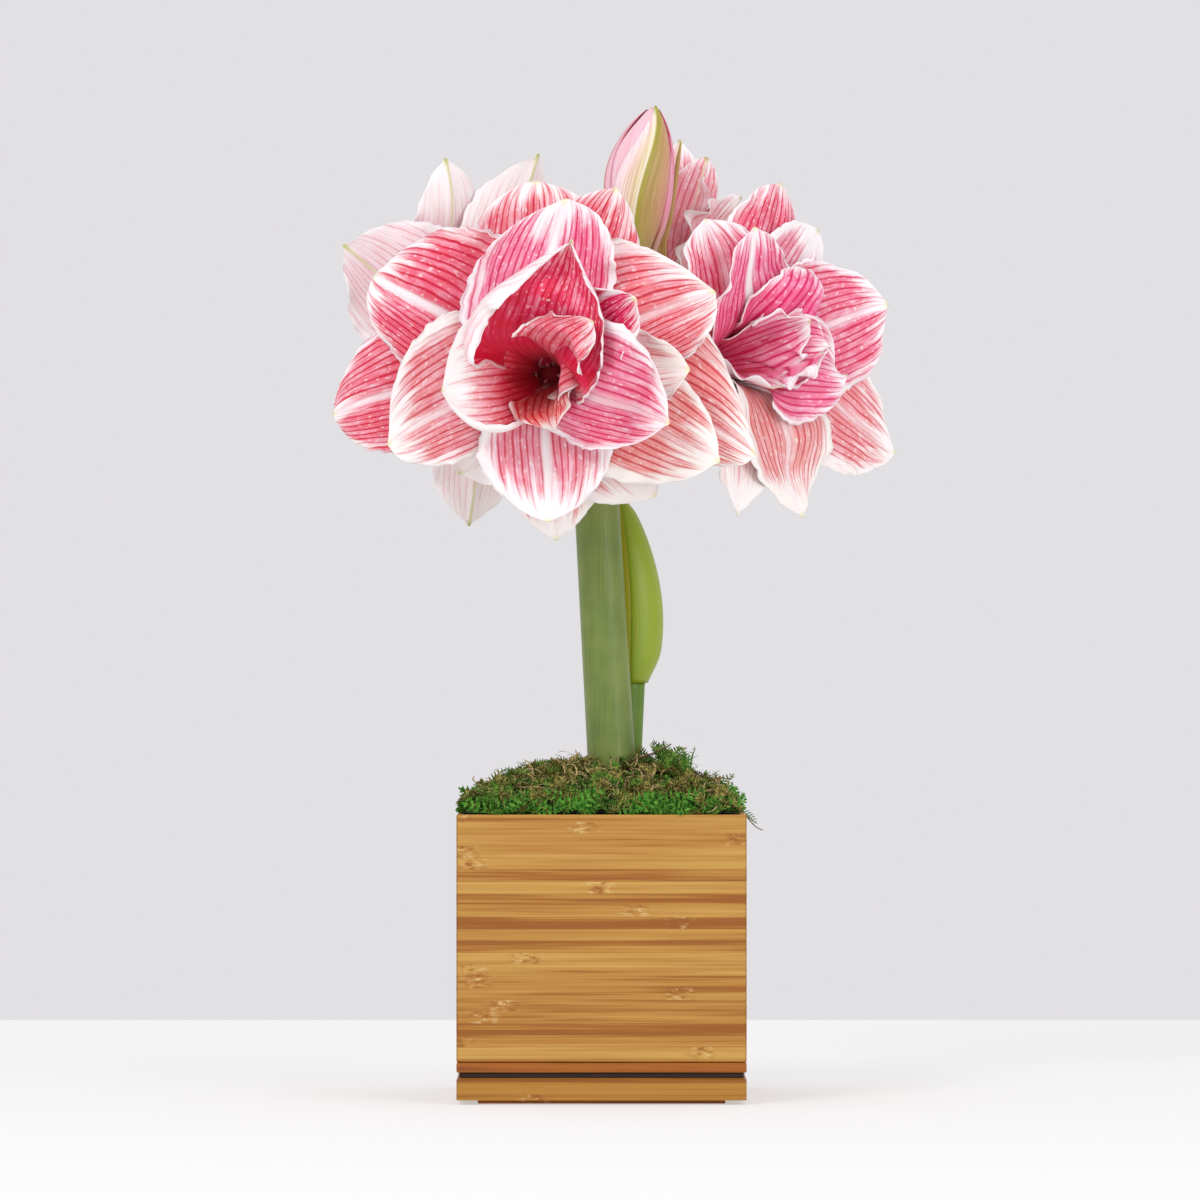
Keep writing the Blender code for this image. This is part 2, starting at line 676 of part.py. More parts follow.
def build_bloom(bloom, colour):
    """One flower: its tube and all its petals joined into a single body."""
    forward = Vector(bloom.faces)
    sections = CORE_SECTIONS if bloom.draped else BUD_CORE_SECTIONS
    core_rings = [ring(bloom.base + reach * forward, forward, radius, CORE_SIDES) for reach, radius in sections]
    flower = node_from_rings(bloom.name, core_rings, colour)
    surfaces = bloom_surfaces(bloom, petal_rows, petal_columns)
    blades = [loose_tool("blade", petal_blade(points)) for points in surfaces]
    apply_boolean(flower, blades, "UNION")
    return flower


def between(start, end, share):
    return start + share * (end - start)


def curve(start, first_handle, last_handle, end, share):
    """A point on the cubic curve between two ends."""
    rest = 1 - share
    return (
        rest**3 * start
        + 3 * rest**2 * share * first_handle
        + 3 * rest * share**2 * last_handle
        + share**3 * end
    )


def pedicel_path(base, forward):
    """The stalk from the top of the stem round to a flower, which it meets square on."""
    end = base - SEAT_GAP * forward
    first_handle = STEM_TOP + Vector((0, 0, 0.014)) + 0.10 * (base - STEM_TOP)
    last_handle = end - 0.020 * forward
    start = STEM_TOP + 0.10 * (base - STEM_TOP)
    return [curve(start, first_handle, last_handle, end, i / 6) for i in range(7)]


def build_main_stem():
    """The tall flower stem with the five short stalks at its top."""
    path = [between(STEM_FOOT, STEM_TOP, i / 4) for i in range(5)]
    radii = [STEM_RADIUS_FOOT + (STEM_RADIUS_TOP - STEM_RADIUS_FOOT) * i / 4 for i in range(5)]
    lean = (STEM_TOP - STEM_FOOT).normalized()
    path += [STEM_TOP + 0.005 * lean, STEM_TOP + 0.0075 * lean]
    radii += [STEM_RADIUS_TOP * 0.86, STEM_RADIUS_TOP * 0.50]
    stem = node_from_rings("scape_main", tube_rings(path, radii, STEM_SIDES), (0.19, 0.25, 0.06))
    stalks = []
    ends = [(bloom.base, Vector(bloom.faces)) for bloom in BLOOMS]
    ends.append((BUD_BASE, BUD_FACES))
    for base, forward in ends:
        path = pedicel_path(base, forward)
        radii = [PEDICEL_RADIUS] * 4 + [PEDICEL_RADIUS * 1.08, PEDICEL_END_RADIUS, PEDICEL_END_RADIUS * 0.93]
        mesh_data = bmesh.new()
        add_rings(mesh_data, tube_rings(path, radii, PEDICEL_SIDES, forward))
        stalks.append(loose_tool("stalk", mesh_data))
    apply_boolean(stem, stalks, "UNION")
    return stem


def build_young_stem():
    path = [between(YOUNG_STEM_FOOT, YOUNG_STEM_TOP, i / 3) for i in range(4)]
    radii = [YOUNG_STEM_RADIUS] * 4
    return node_from_rings("scape_young", tube_rings(path, radii, STEM_SIDES), (0.18, 0.24, 0.04))


def build_spathe():
    """The shut bud on the young stem: two green valves, one lapped over the other along a raised edge."""
    rings = []
    for i, (centre, radius, depth) in enumerate(SPATHE_SECTIONS):
        way = YOUNG_STEM_TOP - YOUNG_STEM_FOOT if i == 0 else (0, 0, 1)
        points = ring(centre, way, radius, SPATHE_SIDES, depth)
        seam = math.radians(-150 + 70 * (1 - i / (len(SPATHE_SECTIONS) - 1)))
        for j, point in enumerate(points):
            angle = 2 * math.pi * j / SPATHE_SIDES
            turn = (angle - seam + math.pi) % (2 * math.pi) - math.pi
            lap = 0.05 if 0 <= turn < math.pi else 0.0
            points[j] = centre + (1 + lap * math.exp(-turn / 0.9)) * (point - centre)
        rings.append(points)
    return node_from_rings("spathe_bud", rings, (0.38, 0.46, 0.10))


def build_top_bud():
    """The shut bud at the top, with three broad outer petals that meet in shallow seams."""
    rings = []
    for i, (centre, radius, depth) in enumerate(BUD_SECTIONS):
        points = ring(centre, BUD_FACES if i == 0 else (0, 0, 1), radius, BUD_SIDES, depth)
        depth_of_seam = BUD_SEAM if 2 < i < len(BUD_SECTIONS) - 1 else 0.0
        for j, point in enumerate(points):
            angle = 2 * math.pi * j / BUD_SIDES
            seam = abs(math.sin(1.5 * (angle + math.pi / 2))) ** 6
            points[j] = centre + (1 - depth_of_seam * seam) * (point - centre)
        rings.append(points)
    return node_from_rings("bud_top", rings, (0.62, 0.42, 0.30))


def build_wall(name, turns):
    """One side of the planter, mitred at both ends, turned to its place by quarter turns."""
    half = PLANTER_SIDE / 2
    inner = half - WALL
    mitre = SEAT_GAP / math.sqrt(2)
    outline = [
        (-half + mitre, -half),
        (half - mitre, -half),
        (inner - mitre, -inner),
        (-inner + mitre, -inner),
    ]
    mesh_data = bmesh.new()
    low = BASE_BOARD_TOP + SEAT_GAP
    bottom = [mesh_data.verts.new((x, y, low)) for x, y in outline]
    top = [mesh_data.verts.new((x, y, RIM_HEIGHT)) for x, y in outline]
    mesh_data.faces.new(bottom[::-1])
    mesh_data.faces.new(top)
    for i in range(4):
        j = (i + 1) % 4
        mesh_data.faces.new((bottom[i], bottom[j], top[j], top[i]))
    mesh_data.edges.ensure_lookup_table()
    rim = [edge for edge in mesh_data.edges if all(vert in top for vert in edge.verts)]
    bmesh.ops.bevel(mesh_data, geom=rim, offset=EDGE_BEVEL, segments=1, affect="EDGES")
    bmesh.ops.rotate(mesh_data, verts=mesh_data.verts[:], matrix=Matrix.Rotation(turns * math.pi / 2, 3, "Z"))
    return new_object(name, triangulated(mesh_data), (0.50, 0.28, 0.09))


def square(half, height, corner):
    """A square ring of points with its corners cut."""
    cut = half - corner
    outline = [
        (-cut, -half), (cut, -half), (half, -cut), (half, cut),
        (cut, half), (-cut, half), (-half, cut), (-half, -cut),
    ]
    return [Vector((x, y, height)) for x, y in outline]


def build_tray(name, half, low, high, recess_half, recess_floor, corner, colour):
    """A square block with cut corners and a square recess in its top."""
    mesh_data = bmesh.new()
    add_rings(mesh_data, [
        square(half, low, corner),
        square(half, high - SAUCER_BEVEL, corner),
        square(half - SAUCER_BEVEL, high, corner),
        square(recess_half, high, corner),
        square(recess_half, recess_floor, corner),
    ])
    return new_object(name, triangulated(mesh_data), colour)


def build_spacer():
    """The narrow dark frame that holds the planter just clear of its saucer."""
    half, inner = SPACER_SIDE / 2, SPACER_SIDE / 2 - SPACER_WIDTH
    low = SAUCER_TOP + SEAT_GAP
    corner = 0.002
    rings = [square(half, low, corner), square(half, SPACER_TOP, corner)]
    rings += [square(inner, SPACER_TOP, corner), square(inner, low, corner)]
    mesh_data = bmesh.new()
    levels = [[mesh_data.verts.new(point) for point in points] for points in rings]
    for lower, upper in zip(levels, levels[1:] + levels[:1]):
        for i in range(8):
            j = (i + 1) % 8
            mesh_data.faces.new((lower[i], lower[j], upper[j], upper[i]))
    return new_object("spacer", triangulated(mesh_data), (0.010, 0.006, 0.004))


def build_liner():
    """The thin plastic tub inside the planter that holds the soil."""
    half = PLANTER_SIDE / 2 - WALL - SEAT_GAP
    low = BASE_BOARD_TOP + SEAT_GAP
    inner = half - LINER_WALL
    mesh_data = bmesh.new()
    add_rings(mesh_data, [
        square(half, low, LINER_CORNER),
        square(half, LINER_TOP, LINER_CORNER),
        square(inner, LINER_TOP, LINER_INNER_CORNER),
        square(inner, low + LINER_FLOOR, LINER_INNER_CORNER),
    ])
    return new_object("liner", triangulated(mesh_data), (0.02, 0.02, 0.02))


def bulb_rings(offset, above=0.0):
    """Rings of the bulb's outline, grown by offset, with a low cap above it where above is set."""
    belly = max(BULB_PROFILE, key=lambda level: level[1])[0]
    levels = [(height + math.copysign(offset, height - belly), radius + offset) for height, radius in BULB_PROFILE]
    if above:
        top, radius = levels[-1]
        levels.append((top + above, radius - 3 * above))
    return [ring(BULB_CENTRE + Vector((0, 0, height)), (0, 0, 1), radius, BULB_SIDES) for height, radius in levels]


def ring_tool(name, rings):
    mesh_data = bmesh.new()
    add_rings(mesh_data, rings)
    return loose_tool(name, mesh_data)


def stem_bores(gap, low_main, low_young, high):
    """Round tools that follow the two stems, gap wider than they are."""
    tools = []
    stems = [
        (STEM_FOOT, STEM_TOP, STEM_RADIUS_FOOT, low_main),
        (YOUNG_STEM_FOOT, YOUNG_STEM_TOP, YOUNG_STEM_RADIUS, low_young),
    ]
    for foot, top, radius, low in stems:
        span = top.z - foot.z
        ends = [between(foot, top, (height - foot.z) / span) for height in (low, high)]
        tools.append(ring_tool("bore", tube_rings(ends, [radius + gap] * 2, STEM_SIDES)))
    return tools


def build_bulb():
    """The bulb with two sockets in its neck, where the stems grow out of it."""
    bulb = node_from_rings("bulb", bulb_rings(0.0), (0.36, 0.20, 0.09))
    foot = STEM_FOOT.z - SEAT_GAP
    apply_boolean(bulb, stem_bores(0.0004, foot, foot, 0.19), "DIFFERENCE")
    return bulb


def build_soil():
    half = PLANTER_SIDE / 2 - WALL - 2 * SEAT_GAP - LINER_WALL
    low = BASE_BOARD_TOP + 2 * SEAT_GAP + LINER_FLOOR
    mesh_data = bmesh.new()
    add_rings(mesh_data, [square(half, height, SOIL_CORNER) for height in (low, SOIL_TOP)])
    soil = new_object("soil", triangulated(mesh_data), (0.03, 0.018, 0.01))
    apply_boolean(soil, [ring_tool("bulb_room", bulb_rings(SEAT_GAP))], "DIFFERENCE")
    return soil


def moss_height(x, y, lumps):
    """How far the moss stands above the rim at a place: a low dome with lumps all over it."""
    edge = max(abs(x), abs(y)) / MOSS_HALF
    corner = (abs(x) ** 4 + abs(y) ** 4) ** 0.25 / MOSS_HALF
    dome = max(0.0, 1 - 0.5 * (edge**3 + corner**3)) ** 0.62
    bumps = sum(size * math.exp(-((x - u) ** 2 + (y - v) ** 2) / reach**2) for u, v, size, reach in lumps)
    return MOSS_RISE * dome + bumps * min(1.0, 6 * max(0.0, 1 - edge))


def moss_lumps():
    chooser = np.random.default_rng(11)
    lumps = []
    for _ in range(MOSS_LUMPS):
        u, v = chooser.uniform(-MOSS_HALF, MOSS_HALF, 2)
        lumps.append((u, v, chooser.uniform(-0.0022, 0.0030), chooser.uniform(0.005, 0.011)))
    lumps.append((0.034, 0.004, 0.007, 0.007))
    return lumps


def build_moss():
    """The cushion of moss that covers the soil and laps over the rim, with room for the bulb and both stems."""
    lumps = moss_lumps()
    mesh_data = bmesh.new()
    bmesh.ops.create_grid(mesh_data, x_segments=MOSS_CELLS, y_segments=MOSS_CELLS, size=MOSS_HALF)
    for vert in mesh_data.verts:
        vert.co.z = MOSS_FOOT + 0.0012 + moss_height(vert.co.x, vert.co.y, lumps)
    rim = [edge for edge in mesh_data.edges if edge.is_boundary]
    skirt = bmesh.ops.extrude_edge_only(mesh_data, edges=rim)["geom"]
    skirt = [item for item in skirt if isinstance(item, bmesh.types.BMVert)]
    for vert in skirt:
        vert.co.z = MOSS_FOOT
    bmesh.ops.contextual_create(mesh_data, geom=[edge for edge in mesh_data.edges if edge.is_boundary])
    moss = new_object("moss", triangulated(mesh_data), (0.05, 0.07, 0.02), 0.9)
    low = SOIL_TOP + SEAT_GAP
    plug = [square(MOSS_PLUG_HALF, height, SOIL_CORNER) for height in (low, MOSS_PLUG_TOP)]
    apply_boolean(moss, [ring_tool("plug", plug)], "UNION")
    room = [ring_tool("bulb_room", bulb_rings(SEAT_GAP, above=0.001))]
    apply_boolean(moss, room, "DIFFERENCE")
    apply_boolean(moss, stem_bores(0.0006, 0.150, 0.150, 0.22), "DIFFERENCE")
    return moss


def build_planter():
    wood = (0.50, 0.28, 0.09)
    half = PLANTER_SIDE / 2
    foot = SAUCER_FOOT_SIDE / 2
    box_node("saucer_foot", (-foot, -foot, 0), (foot, foot, SAUCER_FOOT_TOP), wood, 0.0004)
    build_tray(
        "saucer", half, SAUCER_FOOT_TOP + SEAT_GAP, SAUCER_TOP,
        SAUCER_RECESS_SIDE / 2, SAUCER_TOP - SAUCER_RECESS_DEPTH, 0.0012, wood,
    )
    build_spacer()
    box_node("base_board", (-half, -half, SPACER_TOP + SEAT_GAP), (half, half, BASE_BOARD_TOP), wood, 0.0006)
    for name, turns in (("wall_front", 0), ("wall_right", 1), ("wall_back", 2), ("wall_left", 3)):
        build_wall(name, turns)
    build_liner()


def main():
    for item in list(bpy.data.objects):
        bpy.data.objects.remove(item)
    build_planter()
    build_soil()
    build_bulb()
    build_moss()
    build_main_stem()
    build_young_stem()
    build_spathe()
    build_top_bud()
    for bloom in BLOOMS:
        build_bloom(bloom, (0.80, 0.30, 0.42))


if __name__ == "__main__":
    main()
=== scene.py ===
"""The looks of a double-flowered amaryllis in a square bamboo planter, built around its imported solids.

Metres, +Z up, -Y towards the viewer. Flowers, buds, stems, moss and boards replace the plain solids.
The saucer, the spacer and what is hidden in the pot keep their solids and get materials.
"""

import math
from dataclasses import dataclass

import bmesh
import bpy
import numpy as np
from mathutils import Euler, Matrix, Vector
from mathutils.bvhtree import BVHTree


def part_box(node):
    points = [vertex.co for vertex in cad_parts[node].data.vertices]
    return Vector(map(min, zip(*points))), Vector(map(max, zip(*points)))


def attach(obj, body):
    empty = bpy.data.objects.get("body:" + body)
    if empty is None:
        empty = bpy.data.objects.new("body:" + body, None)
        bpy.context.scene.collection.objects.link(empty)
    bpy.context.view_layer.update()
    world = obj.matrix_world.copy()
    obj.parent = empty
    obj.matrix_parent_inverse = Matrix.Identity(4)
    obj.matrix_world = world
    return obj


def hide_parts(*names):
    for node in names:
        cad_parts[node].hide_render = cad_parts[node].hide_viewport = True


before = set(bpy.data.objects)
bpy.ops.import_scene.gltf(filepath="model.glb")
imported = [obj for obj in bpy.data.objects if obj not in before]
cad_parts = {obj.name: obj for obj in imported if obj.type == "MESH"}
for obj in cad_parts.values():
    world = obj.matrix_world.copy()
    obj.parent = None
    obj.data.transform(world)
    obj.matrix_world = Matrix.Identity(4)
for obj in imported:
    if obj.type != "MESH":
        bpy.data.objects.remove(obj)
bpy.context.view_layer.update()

# Sizes and places are in metres, angles in degrees unless a line says otherwise

# Camera, table and lamps, as in the photograph. A lamp is its place, aim, size and power in watts
CAMERA_PLACE = Vector((-0.0008, -4.076, 0.2644))
CAMERA_LENS = 229.2
SENSOR_WIDTH = 36.0
WALL_BEHIND = 0.734
TABLE_HALF = 3.0
# How much the table glows: painted light that brightens it and lightens the shadows on it
TABLE_GLOW = 0.45
LAMPS = {
    "key": ((-1.7, -2.6, 2.2), (0, 0, 0.33), 1.0, 37.5),
    "fill": ((2.1, -2.4, 1.2), (0, 0, 0.36), 1.6, 26.5),
}

# Petals, as in the solids but finer
PETAL_ROWS = 48
PETAL_COLUMNS = 28
ROW_CROWDING = 0.92
SPINE_STEPS = 200
PETAL_START = 0.03
PETAL_SHEET = 0.00045
CLAW_SHARE = 0.14
CLAW_CURL = 85
CLAW_CURL_END = 0.30
CLAW_RADIUS_REAR = 0.0068
CLAW_RADIUS_FRONT = 0.0025
FLARE_DELAY = 0.10
TIP_HALF_WIDTH = 0.0006
TIP_POINT = 0.97
HOOK_FROM = 0.75
CUP_FULL = 0.5
ROLL_FULL = 0.4
GROOVE_DEPTH = 0.035
GROOVE_WIDTH = 0.16
FRILL = 0.0017
FRILL_SPACING = 0.015
MARGIN_NICKS = 0.015

# Petals laid over one another, and heads bent clear of their neighbours
PETAL_SPACING = 0.0021
DRAPE_ROUNDS = 3
DRAPE_FROM = 0.013
DRAPE_FULL = 0.024
DRAPE_REACH = 3
DRAPE_SMOOTH = 3
DRAPE_RAY = 0.2
ROLLED_OVER = 90
OVERHANG = 0.024
PARTING_CLEARANCE = 0.0009
PARTING_SPREAD = 0.008
PARTING_SOFTNESS = 0.004

# What the petals' patterns follow, kept on their points
TRAITS = ("across", "along", "offset", "run", "vein", "blush", "tone", "rib", "seed")
VEIN_SPACING = 0.0038
VEINS_GATHER = 0.55
RUN_STEP = 0.010
FADE_FROM = 0.30
FADE_OVER = 0.45

# Stems, as in the solids
STEM_FOOT = Vector((0.0088, -0.0040, 0.118))
STEM_TOP = Vector((-0.0050, -0.0010, 0.360))
STEM_RADIUS_FOOT = 0.0130
STEM_RADIUS_TOP = 0.0118
STEM_STEPS = 40
STEM_SIDES = 48
YOUNG_STEM_FOOT = Vector((0.0110, 0.0200, 0.118))
YOUNG_STEM_TOP = Vector((0.0157, 0.0215, 0.2195))
YOUNG_STEM_RADIUS = 0.0076
YOUNG_STEM_STEPS = 16
YOUNG_STEM_SIDES = 40
RUN_INTO_BUD = 1.04
STALK_RADIUS = 0.0042
STALK_END_RADIUS = 0.0052
STALK_STEPS = 24
STALK_SIDES = 20
STALK_SWELLS_FROM = 0.62
STALK_SWELLS_OVER = 0.3
SEAT_GAP = 0.0003
BUD_BASE = Vector((0.0165, 0.0085, 0.4330))
BUD_FACES = Vector((0.10, 0.05, 1.0)).normalized()

# Round forms: how far along their axis each ring lies, and its radius or its share of the stem's radius
STEM_CROWN = ((0.0025, 0.97), (0.0045, 0.90), (0.0062, 0.78), (0.0072, 0.60), (0.0076, 0.40))
TUBE_SECTIONS = ((0.0002, 0.0046), (0.002, 0.0058), (0.005, 0.0070), (0.009, 0.0080), (0.014, 0.0086))
TUBE_SIDES = 36
TUBE_WALL = 0.0006
THROAT_SECTIONS = ((0.0060, 0.0066), (0.0100, 0.0064), (0.0122, 0.0048), (0.0132, 0.0020))
THROAT_SIDES = 24
STAMENS = 3
STAMEN_STEPS = 10
STAMEN_SIDES = 8
STAMEN_RADIUS = 0.0005
ANTHER_RADIUS = 0.0009

# Sepals wrapped round the buds
SCALE_ROWS = 40
SCALE_COLUMNS = 24
SCALE_SHEET = 0.0006
SCALE_RISE = 0.0004
SCALE_MARGIN_DIP = 0.0007
SCALE_KEEL = 0.0007

# Moss dome, as in the solids, and the mat and sprigs that make it
MOSS_HALF = 0.0728
MOSS_FOOT = 0.1523
MOSS_RISE = 0.0235
MOSS_LIMIT = 0.0750
MOSS_LUMPS = 120
TUFT_MOUND = (0.034, 0.004, 0.007, 0.007)
MAT_SQUARES = 96
MAT_SINK = 0.0022
MAT_ROUGHNESS = 0.0009
SLOPE_STEP = 0.002
SPRIG_STEPS = 3
SPRIG_RADIUS = 0.0003
RIBBON_STEPS = 8
RIBBON_WIDTH = 0.0009
TWIG_STEPS = 12
RIM_SPRIGS = {"front": 70, "right": 26, "back": 36, "left": 18}
TUFT_SPRIGS = 26

# Boards, and the quarter turns from the front to each side
SIDES = {"front": 0, "right": 1, "back": 2, "left": 3}
PLANTER_SIDE = 0.152
WALL = 0.009
WALL_EDGE = 0.0007
FLOOR_BOARD_EDGE = 0.0009
FOOT_BOARD_EDGE = 0.0005
STRIP_HEIGHT = 0.0062
STRIP_LENGTH = 0.230
WALL_BAMBOO = ("#c19549", "#a26820", "#894c12")

# Patterns on Object coordinates, as grains to the metre along X, Y and Z
GLUE_LINE_SWAY = (9.0, 9.0, 60.0)  # 110 mm long, 17 mm high
NODE_WARP = (160.0, 160.0, 300.0)  # 6 mm by 3 mm
NODE_SPECKS = (230.0, 230.0, 620.0)  # 4.3 mm by 1.6 mm
FINE_FIBRES = (14.0, 14.0, 1500.0)  # 70 mm long, 0.7 mm high
BROAD_FIBRES = (9.0, 9.0, 420.0)  # 110 mm long, 2.4 mm high
WOOD_GRAIN = 90.0  # 11 mm
PETAL_CELLS = 1600.0  # 0.6 mm: real cells are too fine to show
STEM_FIBRES = 900.0  # 1.1 mm
TUBE_FIBRES = 700.0  # 1.4 mm
STEM_CLOUDS = 38.0  # 26 mm
FIBRE_LENGTHEN = (1.0, 1.0, 0.02)
SPRIG_PATCHES = 75.0  # 13 mm
RIM_SPRIG_PATCHES = 90.0  # 11 mm
STRAND_PATCHES = 130.0  # 8 mm
MAT_GRAIN = 260.0  # 4 mm
SOIL_CRUMBS = 400.0  # 2.5 mm
BULB_SKIN_PATCHES = 90.0  # 11 mm
LINER_CLOUDS = 60.0  # 17 mm


@dataclass
class Petal:
    """One tepal, with its angles in degrees and its length and width in metres.

    clock runs round the bloom: 0 at a facing viewer's right, 90 at the top. late keeps it longer in the
    tube, and lean widens its left half and narrows its right one. frill is how crinkled its margin is,
    blush how strongly it is coloured, on a few petals also how much painted shade darkens them, and fade
    how much of that it loses towards its tip. tone runs from 0, magenta, by way of crimson to 1, salmon.
    rib is how clear its white middle band is.
    """

    clock: float
    length: float
    width: float
    opens: float
    cup: float = 20.0
    roll_left: float = 0.0
    roll_right: float = 0.0
    twist: float = 0.0
    sway: float = 0.0
    hook: float = 0.0
    ruffle: float = 0.06
    waves: float = 3.0
    widest: float = 0.60
    blunt: float = 0.53
    late: float = 0.0
    lean: float = 0.0
    frill: float = 1.0
    blush: float = 0.6
    fade: float = 0.0
    tone: float = 0.5
    rib: float = 0.0


@dataclass
class Bloom:
    """A flower head.

    base is where it springs from and faces the way it looks. Its petals run from the rear forward.
    """

    name: str
    base: Vector
    faces: Vector
    tube_angle: float
    flare_from: float
    flare_to: float
    petals: list
    draped: bool = True


@dataclass
class Parting:
    """A plane that two neighbouring heads bend clear of. first stays behind it, second beyond it."""

    first: tuple
    second: tuple
    through: Vector
    normal: Vector


def facing(x, y, z):
    """A direction of length 1."""
    return Vector((x, y, z)).normalized()


FRONT_BLOOM = Bloom(
    name="bloom_front",
    base=Vector((-0.024, -0.052, 0.384)),
    faces=facing(-0.17, -0.97, -0.05),
    tube_angle=10,
    flare_from=0.04,
    flare_to=0.50,
    petals=[
        Petal(clock=177, length=0.138, width=0.084, opens=104, cup=-16, sway=0.20, hook=34, lean=-0.2,
              blush=0.9, tone=0.55, rib=0.7),
        Petal(clock=94, length=0.119, width=0.086, opens=103, cup=-10, hook=30, blush=0.85, tone=0.6),
        Petal(clock=1, length=0.129, width=0.090, opens=103, cup=-14, sway=-0.35, hook=12, lean=0.4,
              blunt=0.62, blush=0.75, tone=0.9, rib=0.3),
        Petal(clock=271, length=0.102, width=0.056, opens=106, cup=-8, blunt=0.7, blush=0.5, tone=0.8),
        Petal(clock=227, length=0.083, width=0.060, opens=105, cup=-8, blush=0.3, tone=0.7, rib=0.4),
        Petal(clock=310, length=0.100, width=0.062, opens=106, cup=-8, blush=0.4, tone=0.8),
        Petal(clock=72, length=0.124, width=0.066, opens=99, cup=-16, sway=-0.05, blunt=0.62, twist=24,
              blush=1.0, tone=0.65),
        Petal(clock=147, length=0.131, width=0.086, opens=97, cup=-12, sway=0.05, hook=46, lean=-0.2,
              blush=1.0, tone=0.5, rib=0.85),
        Petal(clock=334, length=0.126, width=0.066, opens=92, cup=-6, blunt=0.66, blush=0.6, tone=1.0,
              rib=0.3),
        Petal(clock=190, length=0.108, width=0.076, opens=91, cup=-8, sway=0.20, hook=14, lean=-0.26,
              blush=0.65, tone=0.7, rib=0.5),
        Petal(clock=38, length=0.121, width=0.088, opens=91, cup=-10, sway=-0.19, hook=10, lean=0.3,
              blush=0.8, tone=0.7, rib=0.5),
        Petal(clock=272, length=0.096, width=0.072, opens=83, cup=-6, hook=12, blunt=0.61, blush=0.55,
              tone=0.45, rib=0.9),
        Petal(clock=96, length=0.115, width=0.082, opens=78, cup=4, sway=-0.22, hook=14, lean=0.1,
              blush=0.8, tone=0.15, rib=1.0),
        Petal(clock=2, length=0.105, width=0.050, opens=76, cup=24, ruffle=0.12, waves=4, frill=1.2,
              blush=0.55, tone=0.9),
        Petal(clock=35, length=0.117, width=0.056, opens=66, cup=26, ruffle=0.20, waves=5, late=0.15,
              frill=1.6, blush=1.8, tone=0.35),
        Petal(clock=341, length=0.110, width=0.072, opens=64, cup=16, roll_right=40, lean=0.16,
              blunt=0.7, blush=0.75, tone=0.2, rib=0.5),
        # Its blush of 1.3 is partly its own crimson and partly painted shade, darkening a petal that lies in
        # shade
        Petal(clock=183, length=0.075, width=0.080, opens=62, cup=20, roll_left=140, sway=0.06,
              blush=1.3, fade=0.75, tone=0.6),
        # Its blush of 1.4 is partly its own crimson and partly painted shade, darkening a petal that lies in
        # shade
        Petal(clock=69, length=0.129, width=0.104, opens=50, cup=10, roll_left=190, roll_right=80,
              lean=0.12, widest=0.48, blunt=0.95, ruffle=0.04, blush=1.4, fade=0.1, tone=0.45),
        Petal(clock=292, length=0.066, width=0.040, opens=30, cup=10, hook=40, blunt=0.7, blush=1.0,
              tone=1.0),
        Petal(clock=38, length=0.090, width=0.046, opens=42, cup=44, ruffle=0.08, frill=2.0, blush=0.9,
              tone=0.6),
    ],
)

RIGHT_BLOOM = Bloom(
    name="bloom_right",
    base=Vector((0.048, -0.004, 0.388)),
    faces=facing(0.72, -0.68, 0.14),
    tube_angle=10,
    flare_from=0.05,
    flare_to=0.55,
    petals=[
        Petal(clock=64, length=0.125, width=0.064, opens=92, cup=-12, hook=16, blunt=0.62, blush=0.9,
              tone=0.45),
        Petal(clock=45, length=0.118, width=0.060, opens=92, cup=-6, blush=0.5, tone=0.3, rib=0.4),
        Petal(clock=343, length=0.149, width=0.074, opens=98, cup=-10, sway=-0.10, blunt=0.74,
              blush=0.6, tone=0.75, rib=0.4),
        Petal(clock=251, length=0.112, width=0.050, opens=84, cup=-4, blunt=0.78, blush=0.1, tone=0.7),
        Petal(clock=278, length=0.082, width=0.048, opens=90, cup=0, blush=0.2, tone=0.7),
        Petal(clock=104, length=0.094, width=0.070, opens=84, cup=-10, hook=30, blush=0.8, tone=0.4,
              rib=0.3),
        Petal(clock=284, length=0.113, width=0.070, opens=90, cup=-10, roll_right=20, sway=0.06,
              blunt=0.74, blush=0.5, tone=0.9, rib=0.5),
        Petal(clock=20, length=0.132, width=0.076, opens=86, cup=-6, sway=-0.06, blunt=0.62, blush=0.8,
              tone=0.3, rib=0.6),
        Petal(clock=347, length=0.084, width=0.070, opens=72, cup=12, hook=24, late=0.15, blush=0.8,
              tone=0.1),
        Petal(clock=99, length=0.098, width=0.068, opens=66, cup=10, hook=12, blunt=0.7, late=0.05,
              blush=0.85, tone=0.1, rib=1.0),
        Petal(clock=54, length=0.088, width=0.046, opens=66, cup=10, hook=16, late=0.12, blush=1.0,
              tone=0.1),
        Petal(clock=0, length=0.066, width=0.042, opens=46, cup=30, ruffle=0.12, waves=4, late=0.15,
              frill=2.0, blush=0.8, tone=0.1),
        Petal(clock=39, length=0.066, width=0.034, opens=26, cup=30, ruffle=0.14, waves=4, late=0.20,
              frill=2.0, blush=0.8, tone=0.1),
        Petal(clock=262, length=0.062, width=0.046, opens=24, cup=24, ruffle=0.14, waves=4, late=0.10,
              frill=2.0, blush=0.7, tone=0.1),
    ],
)

